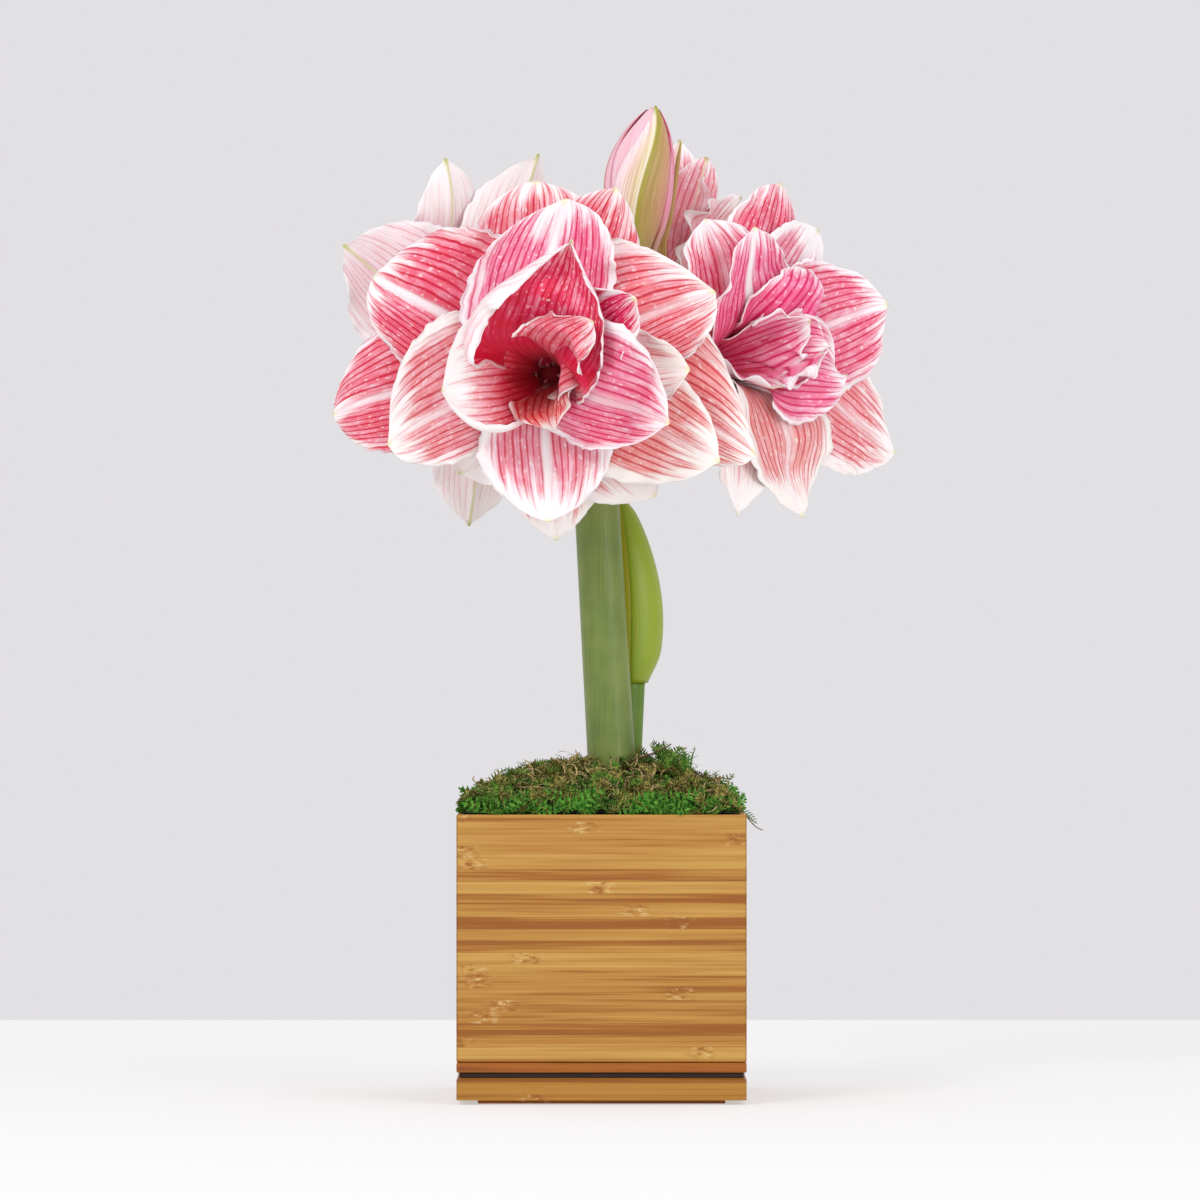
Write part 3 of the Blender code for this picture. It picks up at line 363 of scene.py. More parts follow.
BACK_BLOOM = Bloom(
    name="bloom_back",
    base=Vector((-0.040, 0.026, 0.388)),
    faces=facing(-0.55, 0.82, 0.08),
    tube_angle=10,
    flare_from=0.06,
    flare_to=0.60,
    petals=[
        # Its blush of 1.4 is partly its own pink and partly painted shade, darkening a petal that lies in
        # slight shade
        Petal(clock=35, length=0.132, width=0.078, opens=90, cup=14, lean=0.2, blunt=0.74, blush=1.4,
              tone=0.35),
        Petal(clock=107, length=0.148, width=0.066, opens=92, cup=22, blunt=0.74),
        Petal(clock=272, length=0.108, width=0.062, opens=86, cup=12, blunt=0.74),
        Petal(clock=170, length=0.126, width=0.066, opens=88, cup=0, blunt=0.7),
        Petal(clock=80, length=0.144, width=0.064, opens=90, cup=12, hook=-10, blunt=0.7),
        Petal(clock=230, length=0.112, width=0.066, opens=88, cup=0),
        Petal(clock=350, length=0.098, width=0.064, opens=84, cup=0),
        Petal(clock=64, length=0.110, width=0.070, opens=68, cup=10),
        Petal(clock=165, length=0.104, width=0.070, opens=66, cup=10),
        Petal(clock=270, length=0.096, width=0.070, opens=66, cup=10),
        Petal(clock=20, length=0.072, width=0.040, opens=44, cup=30, ruffle=0.14, waves=4),
        Petal(clock=215, length=0.072, width=0.040, opens=44, cup=30, ruffle=0.14, waves=4),
    ],
)

HALF_OPEN_BLOOM = Bloom(
    name="bloom_half_open",
    base=Vector((0.034, 0.044, 0.424)),
    faces=facing(0.26, 0.40, 0.88),
    tube_angle=12,
    flare_from=0.20,
    flare_to=0.85,
    draped=False,
    petals=[
        Petal(clock=84, length=0.090, width=0.042, opens=12, cup=30, twist=20, blunt=0.78, frill=2,
              blush=0.8),
        Petal(clock=176, length=0.070, width=0.044, opens=32, cup=26, twist=20, frill=2.5),
        Petal(clock=308, length=0.088, width=0.042, opens=28, cup=26, twist=20, blunt=0.7),
        Petal(clock=125, length=0.083, width=0.036, opens=12, cup=30, twist=20, frill=2, blush=0.9),
        Petal(clock=248, length=0.078, width=0.036, opens=14, cup=30, twist=20),
        Petal(clock=8, length=0.074, width=0.036, opens=10, cup=30, twist=20),
    ],
)

BLOOMS = [FRONT_BLOOM, RIGHT_BLOOM, BACK_BLOOM, HALF_OPEN_BLOOM]

PARTINGS = [
    Parting(("bloom_front",), ("bloom_right",), Vector((0.050, -0.062, 0)), facing(0.55, 0.83, 0)),
    Parting(
        ("bloom_front",), ("bloom_back", "bud", "bloom_half_open"), Vector((0, -0.022, 0)), facing(0, 1, 0),
    ),
    Parting(("bloom_right",), ("bloom_half_open", "bud"), Vector((0.060, 0.010, 0)), facing(-0.60, 0.80, 0)),
    Parting(("bud",), ("bloom_half_open",), Vector((0.033, 0.027, 0)), facing(0.50, 0.866, 0)),
    Parting(("bloom_back",), ("bloom_half_open", "bud"), Vector((0.002, 0.058, 0)), facing(0.80, -0.60, 0)),
]


def linear(hex_colour):
    """An sRGB hex colour as the linear values that shaders take."""
    channels = [int(hex_colour[i : i + 2], 16) / 255 for i in (1, 3, 5)]
    return (*[c / 12.92 if c <= 0.04045 else ((c + 0.055) / 1.055) ** 2.4 for c in channels], 1.0)


def plug(tree, node, inputs):
    """Gives each input of a node a plain value, or links it to another node's output."""
    for key, value in inputs.items():
        if isinstance(value, bpy.types.NodeSocket):
            tree.links.new(value, node.inputs[key])
        else:
            node.inputs[key].default_value = value


def add(tree, kind, inputs=None, out=0, **settings):
    """Adds one shader node with its settings, plugs in its inputs and returns one of its outputs.

    An input is named, or given by its place. A MapRange takes its value at 0, the range that it comes from
    at 1 and 2 and the range that it becomes at 3 and 4. A Mix takes its share at 0, what it starts from
    at 6 and what it mixes in at 7.
    """
    made = tree.nodes.new("ShaderNode" + kind)
    for name, value in settings.items():
        setattr(made, name, value)
    plug(tree, made, inputs or {})
    return made.outputs[out]


def new_material(name, inputs):
    """A material with one Principled shader. Returns it, its node tree and the shader."""
    material = bpy.data.materials.new(name)
    material.use_nodes = True
    tree = material.node_tree
    shader = tree.nodes["Principled BSDF"]
    plug(tree, shader, inputs)
    return material, tree, shader


def as_mesh(mesh_data, name):
    """Turns a bmesh that is done into a mesh."""
    mesh = bpy.data.meshes.new(name)
    mesh_data.to_mesh(mesh)
    mesh_data.free()
    return mesh


def finish_piece(name, mesh_data, materials, node=None, smooth=True):
    """Makes the object of one piece, which rides on the plant's single body and may replace a node."""
    mesh = as_mesh(mesh_data, name)
    for material in materials:
        mesh.materials.append(material)
    if smooth:
        mesh.shade_smooth()
    piece = bpy.data.objects.new(name, mesh)
    bpy.context.scene.collection.objects.link(piece)
    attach(piece, "root")
    if node:
        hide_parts(node)
    return piece


def thicken(piece, thickness, offset=-1, material_offset=0):
    """Gives a sheet its thickness. Its second skin takes the material that many places further on."""
    wall = piece.modifiers.new("wall", "SOLIDIFY")
    wall.thickness = thickness
    wall.offset = offset
    wall.material_offset = material_offset


def face_outwards(mesh_data):
    """Turns every face outwards, before a wall gets its thickness."""
    bmesh.ops.recalc_face_normals(mesh_data, faces=mesh_data.faces[:])


def smoothstep(x):
    """Rises smoothly from 0 to 1 while x does."""
    x = np.clip(x, 0.0, 1.0)
    return x * x * (3.0 - 2.0 * x)


def between(start, end, share):
    """What lies at this share of the way from start to end."""
    return start + share * (end - start)


def steps(count):
    """Shares from 0 to 1 in this many equal steps."""
    return [i / count for i in range(count + 1)]


# Petals


def bloom_axes(bloom):
    """The bloom's forward axis, and the right and up directions as a viewer facing it sees them."""
    forward = np.array(bloom.faces)
    right = np.cross(-forward, (0.0, 0.0, 1.0))
    right /= np.linalg.norm(right)
    up = np.cross(right, -forward)
    return forward, right, up


def half_width(petal, t):
    """Half the petal's width at t along it: a narrow claw, full at its widest, then a drawn-out point."""
    below = CLAW_SHARE + (1 - CLAW_SHARE) * np.sin(0.5 * math.pi * np.clip(t / petal.widest, 0, 1)) ** 1.7
    x = np.clip((t - petal.widest) / (1 - petal.widest), 0, 1)
    above = np.cos(0.5 * math.pi * np.clip(x / TIP_POINT, 0, 1)) ** petal.blunt
    return np.maximum(0.5 * petal.width * np.where(t < petal.widest, below, above), TIP_HALF_WIDTH)


def part_from_neighbours(points, name, depth):
    """Bends the points away from each parting plane that this head shares with a neighbour."""
    for parting in PARTINGS:
        if name in parting.first:
            side = 1.0
        elif name in parting.second:
            side = -1.0
        else:
            continue
        normal = side * np.array(parting.normal)
        reach = (points - np.array(parting.through)) @ normal
        room = -(PARTING_CLEARANCE + depth * PARTING_SPREAD)
        softened = room - PARTING_SOFTNESS * np.logaddexp(0, (room - reach) / PARTING_SOFTNESS)
        points = points + (softened - reach)[..., None] * normal
    return points


def petal_surface(bloom, petal, along, columns):
    """The middle surface of one petal: columns + 1 points across it at each share of its length in along."""
    depth = bloom.petals.index(petal) / (len(bloom.petals) - 1)
    forward, right, up = bloom_axes(bloom)
    clock = math.radians(petal.clock)
    outward = math.cos(clock) * right + math.sin(clock) * up
    sideways = -math.sin(clock) * right + math.cos(clock) * up

    # The spine leaves the tube, swings open and hooks over near the tip
    fine = np.linspace(0, 1, SPINE_STEPS + 1)
    flare_from = bloom.flare_from + FLARE_DELAY * depth + petal.late
    swing = smoothstep((fine - flare_from) / (bloom.flare_to - bloom.flare_from))
    angle = np.radians(bloom.tube_angle + (petal.opens - bloom.tube_angle) * swing)
    angle += math.radians(petal.hook) * np.clip((fine - HOOK_FROM) / (1 - HOOK_FROM), 0, 1) ** 2
    heading = np.cos(angle)[:, None] * forward + np.sin(angle)[:, None] * outward
    step = petal.length / SPINE_STEPS
    run = np.vstack([np.zeros(3), np.cumsum(0.5 * (heading[1:] + heading[:-1]) * step, axis=0)])
    run += np.outer(petal.sway * petal.length * fine**2, sideways)
    rows = len(along)
    claw_radius = CLAW_RADIUS_REAR + (CLAW_RADIUS_FRONT - CLAW_RADIUS_REAR) * depth
    root = np.array(bloom.base) + claw_radius * outward
    centre = root + np.stack([np.interp(along, fine, run[:, i]) for i in range(3)], 1)
    angle = np.interp(along, fine, angle)
    face = np.sin(angle)[:, None] * forward - np.cos(angle)[:, None] * outward

    # The blade twists about its spine
    turn = np.radians(petal.twist) * smoothstep(along / ROLL_FULL)
    across_dir = np.cos(turn)[:, None] * sideways + np.sin(turn)[:, None] * face
    face = -np.sin(turn)[:, None] * sideways + np.cos(turn)[:, None] * face

    # Across it, claw, cup and rolled margins bend it, followed in small steps from the middle outwards
    samples = 4
    side = np.linspace(-1, 1, columns * samples + 1)
    tube = CLAW_CURL * (1 - smoothstep(along / CLAW_CURL_END))
    bend = np.radians(tube + petal.cup * smoothstep(along / CUP_FULL))[:, None] * side
    roll = np.where(side > 0, petal.roll_left, petal.roll_right)
    bend += np.radians(roll * np.abs(side) ** 3 * np.sign(side)) * smoothstep(along / ROLL_FULL)[:, None]
    flat, lift = np.cos(bend), np.sin(bend)
    width = half_width(petal, along)
    dx = 0.5 * (flat[:, 1:] + flat[:, :-1]) * np.diff(side)
    dn = 0.5 * (lift[:, 1:] + lift[:, :-1]) * np.diff(side)
    x = np.hstack([np.zeros((rows, 1)), np.cumsum(dx, 1)])
    n = np.hstack([np.zeros((rows, 1)), np.cumsum(dn, 1)])
    middle = columns * samples // 2
    x = (x - x[:, [middle]])[:, ::samples] * width[:, None]
    n = (n - n[:, [middle]])[:, ::samples] * width[:, None]

    # Slow waves and a middle groove, the same as in the solids
    s = np.linspace(-1, 1, columns + 1)
    phase = 2.4 * petal.clock + 17 * depth
    envelope = np.sin(math.pi * np.clip(along, 0, 1)) ** 0.6
    wave = np.sin(2 * math.pi * petal.waves * along[:, None] + phase + 1.9 * np.sign(s))
    n += petal.ruffle * petal.width * np.abs(s) ** 3 * wave * envelope[:, None]
    n -= GROOVE_DEPTH * petal.width * np.exp(-((s / GROOVE_WIDTH) ** 2)) * envelope[:, None]

    # A finely crinkled and nicked margin
    frills = petal.length / FRILL_SPACING
    drift = 0.9 * np.sin(3.1 * math.pi * along + phase)
    frill = np.sin(2 * math.pi * frills * along[:, None] + 2.3 * phase + drift[:, None] + 2.6 * np.sign(s))
    n += FRILL * petal.frill * np.abs(s) ** 6 * frill * envelope[:, None]
    nicks = np.sin(2 * math.pi * 1.7 * frills * along + phase)
    nicks += 0.7 * np.sin(2 * math.pi * 3.1 * frills * along)
    x *= 1 + MARGIN_NICKS * petal.frill * np.abs(s) ** 8 * nicks[:, None]

    x *= 1 + petal.lean * np.sign(s)
    points = centre[:, None] + x[..., None] * across_dir[:, None] + n[..., None] * face[:, None]
    return part_from_neighbours(points, bloom.name, depth)


def pooled(values, reach, combine):
    """Each value combined with those within reach places of it, down the grid and then across it."""
    for axis in (0, 1):
        padded = np.pad(values, [(reach, reach) if i == axis else (0, 0) for i in (0, 1)], mode="edge")
        shifted = [np.take(padded, range(i, i + values.shape[axis]), axis) for i in range(2 * reach + 1)]
        values = combine(shifted, axis=0)
    return values


def lift_over(points, behind, bloom, petal):
    """Lifts a petal forward wherever it would meet those behind it. A rolled margin moves with its face."""
    middle = points.shape[1] // 2
    base = np.array(bloom.base)
    forward = np.array(bloom.faces)
    down = Vector(-forward)
    for _ in range(DRAPE_ROUNDS):
        offset = points - base
        height = offset @ forward
        radius = np.linalg.norm(offset - height[..., None] * forward, axis=2)
        share = smoothstep((radius - DRAPE_FROM) / (DRAPE_FULL - DRAPE_FROM))
        need = np.zeros(height.shape)
        for place in zip(*np.nonzero(share)):
            start = Vector(points[place] + (DRAPE_RAY - height[place]) * forward)
            hit = behind.ray_cast(start, down)[0]
            if hit:
                need[place] = (np.array(hit) - base) @ forward + PETAL_SPACING - height[place]
        need[need > OVERHANG] = 0
        need = pooled(np.maximum(need, 0) * share, DRAPE_REACH, np.max)
        need = pooled(need, DRAPE_SMOOTH, np.mean)
        if petal.roll_left > ROLLED_OVER:
            need[:, middle:] = np.maximum.accumulate(need[:, middle:], axis=1)
        if petal.roll_right > ROLLED_OVER:
            need[:, middle::-1] = np.maximum.accumulate(need[:, middle::-1], axis=1)
        points = points + need[..., None] * forward
    return points


def new_petal_mesh():
    """An empty mesh that keeps the traits on its points."""
    mesh_data = bmesh.new()
    for name in TRAITS:
        mesh_data.verts.layers.float.new(name)
    return mesh_data


def lay_sheet(mesh_data, points, traits):
    """Adds one sheet: a grid whose points are moved to their places, with the traits kept on each point."""
    shape = points.shape[:2]
    grid = bmesh.ops.create_grid(mesh_data, x_segments=shape[1] - 1, y_segments=shape[0] - 1, size=1.0)
    layers = mesh_data.verts.layers.float
    values = [(layers[name], np.broadcast_to(traits[name], shape)) for name in TRAITS]
    for vert, place in zip(grid["verts"], np.ndindex(shape)):
        vert.co = points[place]
        for layer, value in values:
            vert[layer] = value[place]
    return grid["verts"]


def petal_traits(petal, along, columns, seed):
    """Places across and along a petal, its run of lines in line widths, and how it is coloured."""
    across = np.linspace(-1, 1, columns + 1)
    along = along[:, None]
    width = half_width(petal, along)
    # Where the petal narrows, its lines gather only in part
    gathered = (width / (0.5 * petal.width)) ** (VEINS_GATHER * smoothstep((along - 0.15) / 0.5))
    return {
        "across": across,
        "along": along,
        "offset": across * width,
        "run": along * petal.length / RUN_STEP,
        "vein": across * gathered * 0.5 * petal.width / VEIN_SPACING,
        "blush": petal.blush * (1 - petal.fade * smoothstep((along - FADE_FROM) / FADE_OVER)),
        "tone": petal.tone,
        "rib": petal.rib,
        "seed": float(seed),
    }


def grid_faces(rows, columns, first):
    """The square faces of a rows x columns grid of points whose first point has this number."""
    numbers = first + np.arange(rows * columns).reshape(rows, columns)
    corners = numbers[:-1, :-1], numbers[:-1, 1:], numbers[1:, 1:], numbers[1:, :-1]
    return np.stack([corner.ravel() for corner in corners], 1).tolist()


def build_bloom(bloom, face_material, back_material, seed):
    """All the petals of one flower, each laid over those behind it."""
    mesh_data = new_petal_mesh()
    along = PETAL_START + (1 - PETAL_START) * np.linspace(0, 1, PETAL_ROWS) ** ROW_CROWDING
    corners, faces = [], []
    for number, petal in enumerate(bloom.petals):
        points = petal_surface(bloom, petal, along, PETAL_COLUMNS)
        if faces and bloom.draped:
            behind = BVHTree.FromPolygons(corners, faces)
            points = lift_over(points, behind, bloom, petal)
            points = part_from_neighbours(points, bloom.name, number / (len(bloom.petals) - 1))
        faces += grid_faces(points.shape[0], points.shape[1], len(corners))
        corners += points.reshape(-1, 3).tolist()
        lay_sheet(mesh_data, points, petal_traits(petal, along, PETAL_COLUMNS, seed + number))
    # Each grid was laid with its faces backwards
    bmesh.ops.reverse_faces(mesh_data, faces=mesh_data.faces[:])
    piece = finish_piece(bloom.name + "_petals", mesh_data, [face_material, back_material], bloom.name)
    thicken(piece, PETAL_SHEET, material_offset=1)


# Round forms


def ring(centre, forward, radius, sides):
    """A ring of points round centre, at right angles to forward."""
    forward = Vector(forward).normalized()
    right = Vector((0, 1, 0)).cross(forward)
    right = right.normalized() if right.length > 0.2 else Vector((1, 0, 0))
    up = forward.cross(right)
    angles = [2 * math.pi * i / sides for i in range(sides)]
    return [centre + radius * math.cos(a) * right + radius * math.sin(a) * up for a in angles]


def tube_rings(path, radii, sides):
    """Rings along a path of points, each at right angles to the way the path runs there."""
    rings = []
    for i, centre in enumerate(path):
        before, after = path[max(i - 1, 0)], path[min(i + 1, len(path) - 1)]
        rings.append(ring(centre, after - before, radii[i], sides))
    return rings


def loft(mesh_data, rings, close_end=True):
    """Draws a skin through rings of points, from a closed start: a circle is extruded from ring to ring."""
    number = mesh_data.verts.layers.int.get("number") or mesh_data.verts.layers.int.new("number")
    verts = bmesh.ops.create_circle(mesh_data, segments=len(rings[0]), radius=1.0)["verts"]
    for i, vert in enumerate(verts):
        vert[number] = i
        vert.co = rings[0][i]
    first = edges = list({edge for vert in verts for edge in vert.link_edges})
    for points in rings[1:]:
        made = bmesh.ops.extrude_edge_only(mesh_data, edges=edges)["geom"]
        verts = {item for item in made if isinstance(item, bmesh.types.BMVert)}
        for vert in verts:
            vert.co = points[vert[number]]
        drawn = [item for item in made if isinstance(item, bmesh.types.BMEdge)]
        edges = [edge for edge in drawn if verts.issuperset(edge.verts)]
    bmesh.ops.edgeloop_fill(mesh_data, edges=first)
    if close_end:
        bmesh.ops.edgeloop_fill(mesh_data, edges=edges)


def curve(start, first_handle, last_handle, end, share):
    """A point on the cubic curve between two ends."""
    rest = 1 - share
    return (
        rest**3 * start
        + 3 * rest**2 * share * first_handle
        + 3 * rest * share**2 * last_handle
        + share**3 * end
    )


def stalk_path(base, forward):
    """The stalk from the top of the stem round to a flower, which it meets square on."""
    start = between(STEM_TOP, base, 0.10)
    first_handle = start + Vector((0, 0, 0.014))
    end = base - SEAT_GAP * forward
    last_handle = end - 0.020 * forward
    return [curve(start, first_handle, last_handle, end, share) for share in steps(STALK_STEPS)]


def build_main_stem(skin):
    """The tall stem with its closed crown, and the flower stalks that grow out of it."""
    mesh_data = bmesh.new()
    lean = (STEM_TOP - STEM_FOOT).normalized()
    path = [between(STEM_FOOT, STEM_TOP, share) for share in steps(STEM_STEPS)]
    radii = [between(STEM_RADIUS_FOOT, STEM_RADIUS_TOP, share) for share in steps(STEM_STEPS)]
    path += [STEM_TOP + rise * lean for rise, _ in STEM_CROWN]
    radii += [STEM_RADIUS_TOP * share for _, share in STEM_CROWN]
    loft(mesh_data, tube_rings(path, radii, STEM_SIDES))
    for base, forward in [(bloom.base, bloom.faces) for bloom in BLOOMS] + [(BUD_BASE, BUD_FACES)]:
        swelling = smoothstep((np.array(steps(STALK_STEPS)) - STALK_SWELLS_FROM) / STALK_SWELLS_OVER)
        radii = between(STALK_RADIUS, STALK_END_RADIUS, swelling).tolist()
        loft(mesh_data, tube_rings(stalk_path(base, forward), radii, STALK_SIDES))
    face_outwards(mesh_data)
    finish_piece("stem_with_flower_stalks", mesh_data, [skin], "scape_main")


def build_young_stem(skin):
    """The second stem, which runs a little way into its bud."""
    mesh_data = bmesh.new()
    top = between(YOUNG_STEM_FOOT, YOUNG_STEM_TOP, RUN_INTO_BUD)
    path = [between(YOUNG_STEM_FOOT, top, share) for share in steps(YOUNG_STEM_STEPS)]
    loft(mesh_data, tube_rings(path, [YOUNG_STEM_RADIUS] * len(path), YOUNG_STEM_SIDES))
    face_outwards(mesh_data)
    finish_piece("young_stem", mesh_data, [skin], "scape_young")


def build_flower_tube(bloom, skin):
    """The short tube behind the petals, open in front."""
    mesh_data = bmesh.new()
    places = [(bloom.base + reach * bloom.faces, radius) for reach, radius in TUBE_SECTIONS]
    loft(mesh_data, [ring(at, bloom.faces, radius, TUBE_SIDES) for at, radius in places], close_end=False)
    face_outwards(mesh_data)
    thicken(finish_piece(bloom.name + "_tube", mesh_data, [skin]), TUBE_WALL)


def build_throat(bloom, skin):
    """The dark bottom of the flower's cup: crimson, darkened as painted shade deep in the cup."""
    mesh_data = bmesh.new()
    places = [(bloom.base + reach * bloom.faces, radius) for reach, radius in THROAT_SECTIONS]
    loft(mesh_data, [ring(at, bloom.faces, radius, THROAT_SIDES) for at, radius in places])
    face_outwards(mesh_data)
    finish_piece(bloom.name + "_throat", mesh_data, [skin])


def build_stamens(bloom, thread):
    """A few short threads that stand in the throat, each a little thicker at its end."""
    mesh_data = bmesh.new()
    _, right, up = bloom_axes(bloom)
    chooser = np.random.default_rng(len(bloom.petals))
    for i in range(STAMENS):
        angle = 2 * math.pi * i / STAMENS + chooser.uniform(-0.4, 0.4)
        side = Vector(math.cos(angle) * right + math.sin(angle) * up)
        length = chooser.uniform(0.010, 0.016)
        path = [
            bloom.base + (0.006 + length * share) * bloom.faces + (0.0022 + 0.0030 * share**2) * side
            for share in steps(STAMEN_STEPS)
        ]
        radii = [STAMEN_RADIUS] * (STAMEN_STEPS - 1) + [ANTHER_RADIUS] * 2
        loft(mesh_data, tube_rings(path, radii, STAMEN_SIDES))
    face_outwards(mesh_data)
    finish_piece(bloom.name + "_stamens", mesh_data, [thread])


# Shut buds


# Each row is a centre, then half the width and half the depth of the bud there
SPATHE_PROFILE = np.array([
    (0.0157, 0.0215, 0.2199, 0.0080, 0.0080),
    (0.0158, 0.0220, 0.2250, 0.0102, 0.0096),
    (0.0160, 0.0226, 0.2330, 0.0133, 0.0114),
    (0.0163, 0.0232, 0.2440, 0.0147, 0.0122),
    (0.0164, 0.0238, 0.2560, 0.0149, 0.0124),
    (0.0160, 0.0240, 0.2700, 0.0140, 0.0118),
    (0.0148, 0.0240, 0.2850, 0.0120, 0.0104),
    (0.0132, 0.0240, 0.2985, 0.0092, 0.0082),
    (0.0115, 0.0240, 0.3100, 0.0058, 0.0054),
    (0.0100, 0.0240, 0.3190, 0.0020, 0.0020),
])
BUD_PROFILE = np.array([
    (0.0165, 0.0085, 0.4330, 0.0056, 0.0056),
    (0.0178, 0.0090, 0.4405, 0.0076, 0.0076),
    (0.0192, 0.0096, 0.4510, 0.0104, 0.0104),
    (0.0200, 0.0100, 0.4640, 0.0146, 0.0142),
    (0.0198, 0.0100, 0.4780, 0.0178, 0.0170),
    (0.0204, 0.0100, 0.4905, 0.0184, 0.0174),
    (0.0218, 0.0100, 0.5010, 0.0172, 0.0164),
    (0.0236, 0.0100, 0.5105, 0.0142, 0.0136),
    (0.0254, 0.0100, 0.5190, 0.0098, 0.0094),
    (0.0270, 0.0100, 0.5250, 0.0052, 0.0050),
    (0.0282, 0.0100, 0.5288, 0.0014, 0.0014),
])
# The folded sepal's centre and half width, from its foot to its tip
FOLDED_SEPAL = np.array([
    (0.0345, 0.0400, 0.4300, 0.0030),
    (0.0325, 0.0290, 0.4440, 0.0030),
    (0.0325, 0.0235, 0.4570, 0.0027),
    (0.0362, 0.0230, 0.4693, 0.0021),
    (0.0382, 0.0240, 0.4810, 0.0016),
    (0.0397, 0.0255, 0.4908, 0.0014),
    (0.0412, 0.0275, 0.5011, 0.0011),
    (0.0427, 0.0300, 0.5103, 0.0003),
])


def smooth_profile(profile, shares):
    """The rows of a bud's profile at each share of its height, on a smooth curve through them."""
    heights = profile[:, 2]
    slopes = np.gradient(profile, heights, axis=0)
    at = heights[0] + shares * (heights[-1] - heights[0])
    low = np.clip(np.searchsorted(heights, at) - 1, 0, len(heights) - 2)
    span = (heights[low + 1] - heights[low])[:, None]
    t = (at[:, None] - heights[low][:, None]) / span
    return (
        profile[low] * (1 + 2 * t) * (1 - t) ** 2
        + slopes[low] * span * t * (1 - t) ** 2
        + profile[low + 1] * t**2 * (3 - 2 * t)
        + slopes[low + 1] * span * t**2 * (t - 1)
    )


@dataclass
class Scale:
    """One sepal or valve wrapped round a bud, with its angles in degrees: 0 is +X, -90 faces the viewer.

    layer is how far it lies outside the profile, tip_share how high it reaches, lean how far its tip
    turns round the bud, square how blunt its end is, and skin which of the bud's materials it has.
    """

    middle: float
    half_span: float
    layer: float
    tip_share: float = 1.0
    lean: float = 0.0
    blush: float = 0.5
    tone: float = 0.5
    square: float = 0.35
    skin: int = 0


def wrap_scale(mesh_data, profile, scale, seed):
    """Lays one scale on the bud: it narrows to its tip, and its margins lie closer in than its middle."""
    share = np.linspace(0.0, scale.tip_share, SCALE_ROWS + 1)
    x, y, z, width, depth = smooth_profile(profile, share).T[..., None]
    run = (share / scale.tip_share)[:, None]
    s = np.linspace(-1, 1, SCALE_COLUMNS + 1)
    narrowed = np.clip((run - 0.35) / 0.65, 0, 1) ** 2.2 * (1 - scale.square)
    span = math.radians(scale.half_span) * (1 - narrowed)
    angle = math.radians(scale.middle) + math.radians(scale.lean) * run + span * s
    domed = SCALE_RISE * (1 - np.abs(s) ** 4)
    dipped = SCALE_MARGIN_DIP * np.exp(-(((1 - np.abs(s)) / 0.06) ** 2))
    keel = SCALE_KEEL * np.exp(-((s / 0.09) ** 2)) * smoothstep(run / 0.2)
    proud = (scale.layer + domed - dipped + keel) * smoothstep((1.02 - run) / 0.1)
    places = x + (width + proud) * np.cos(angle), y + (depth + proud) * np.sin(angle), z
    sheet = lay_sheet(mesh_data, np.stack(np.broadcast_arrays(*places), 2), {
        "across": s,
        "along": run,
        "offset": span * width * s,
        "run": z / RUN_STEP,
        "vein": span * width * s / (0.5 * VEIN_SPACING),
        "blush": scale.blush,
        "tone": scale.tone,
        "rib": 0.0,
        "seed": float(seed),
    })
    for face in {face for vert in sheet for face in vert.link_faces}:
        face.material_index = scale.skin


def build_bud(name, profile, scales, materials, node):
    """A shut bud made of overlapping scales, the innermost first."""
    mesh_data = new_petal_mesh()
    for number, scale in enumerate(scales):
        wrap_scale(mesh_data, profile, scale, 70 + number)
    face_outwards(mesh_data)
    thicken(finish_piece(name, mesh_data, materials, node), SCALE_SHEET)


def build_folded_sepal(skin):
    """The half-open bloom's narrow outer sepal, folded along its keel and seen edge on beside the bud."""
    rows, columns = 28, 8
    outward, fold = np.array((0.90, -0.30, -0.25)), np.array((0.0, 0.7, 0.0))
    run = np.linspace(0, 1, rows + 1)
    numbers = np.arange(len(FOLDED_SEPAL))
    course = np.stack([np.interp(run * numbers[-1], numbers, column) for column in FOLDED_SEPAL.T], 1)
    centre, half = course[:, :3], course[:, 3:]
    s = np.linspace(-1, 1, columns + 1)
    across, back = (half * s)[..., None] * outward, (half * s**2)[..., None] * fold
    mesh_data = new_petal_mesh()
    lay_sheet(mesh_data, centre[:, None] + across + back, {
        "across": 0.2 + 0.1 * s,
        "along": 0.3 + 0.7 * run[:, None],
        "offset": 0.004 + half * s,
        "run": centre[:, 2:] / RUN_STEP,
        "vein": half * s / (0.5 * VEIN_SPACING),
        "blush": 0.5,
        "tone": 1.0,
        "rib": 0.0,
        "seed": 91.0,
    })
    face_outwards(mesh_data)
    piece = finish_piece("half_open_folded_sepal", mesh_data, [skin])
    thicken(piece, PETAL_SHEET, offset=0)


# Moss


def moss_lumps():
    """Places, heights and widths of the mounds in the moss, the last of them under the lacy tuft."""
    chooser = np.random.default_rng(11)
    lumps = []
    for _ in range(MOSS_LUMPS):
        u, v = chooser.uniform(-MOSS_HALF, MOSS_HALF, 2)
        lumps.append((u, v, chooser.uniform(-0.0022, 0.0030), chooser.uniform(0.005, 0.011)))
    lumps.append(TUFT_MOUND)
    return np.array(lumps)


def moss_height(x, y, lumps):
    """How far the moss stands above the rim at a place: a low dome with lumps all over it."""
    edge = max(abs(x), abs(y)) / MOSS_HALF
    corner = (abs(x) ** 4 + abs(y) ** 4) ** 0.25 / MOSS_HALF
    dome = max(0.0, 1 - 0.5 * (edge**2 + corner**2)) ** 0.80
    u, v, size, reach = lumps.T
    bumps = float(np.sum(size * np.exp(-((x - u) ** 2 + (y - v) ** 2) / reach**2)))
    return MOSS_RISE * dome + bumps * min(1.0, 6 * max(0.0, 1 - edge))


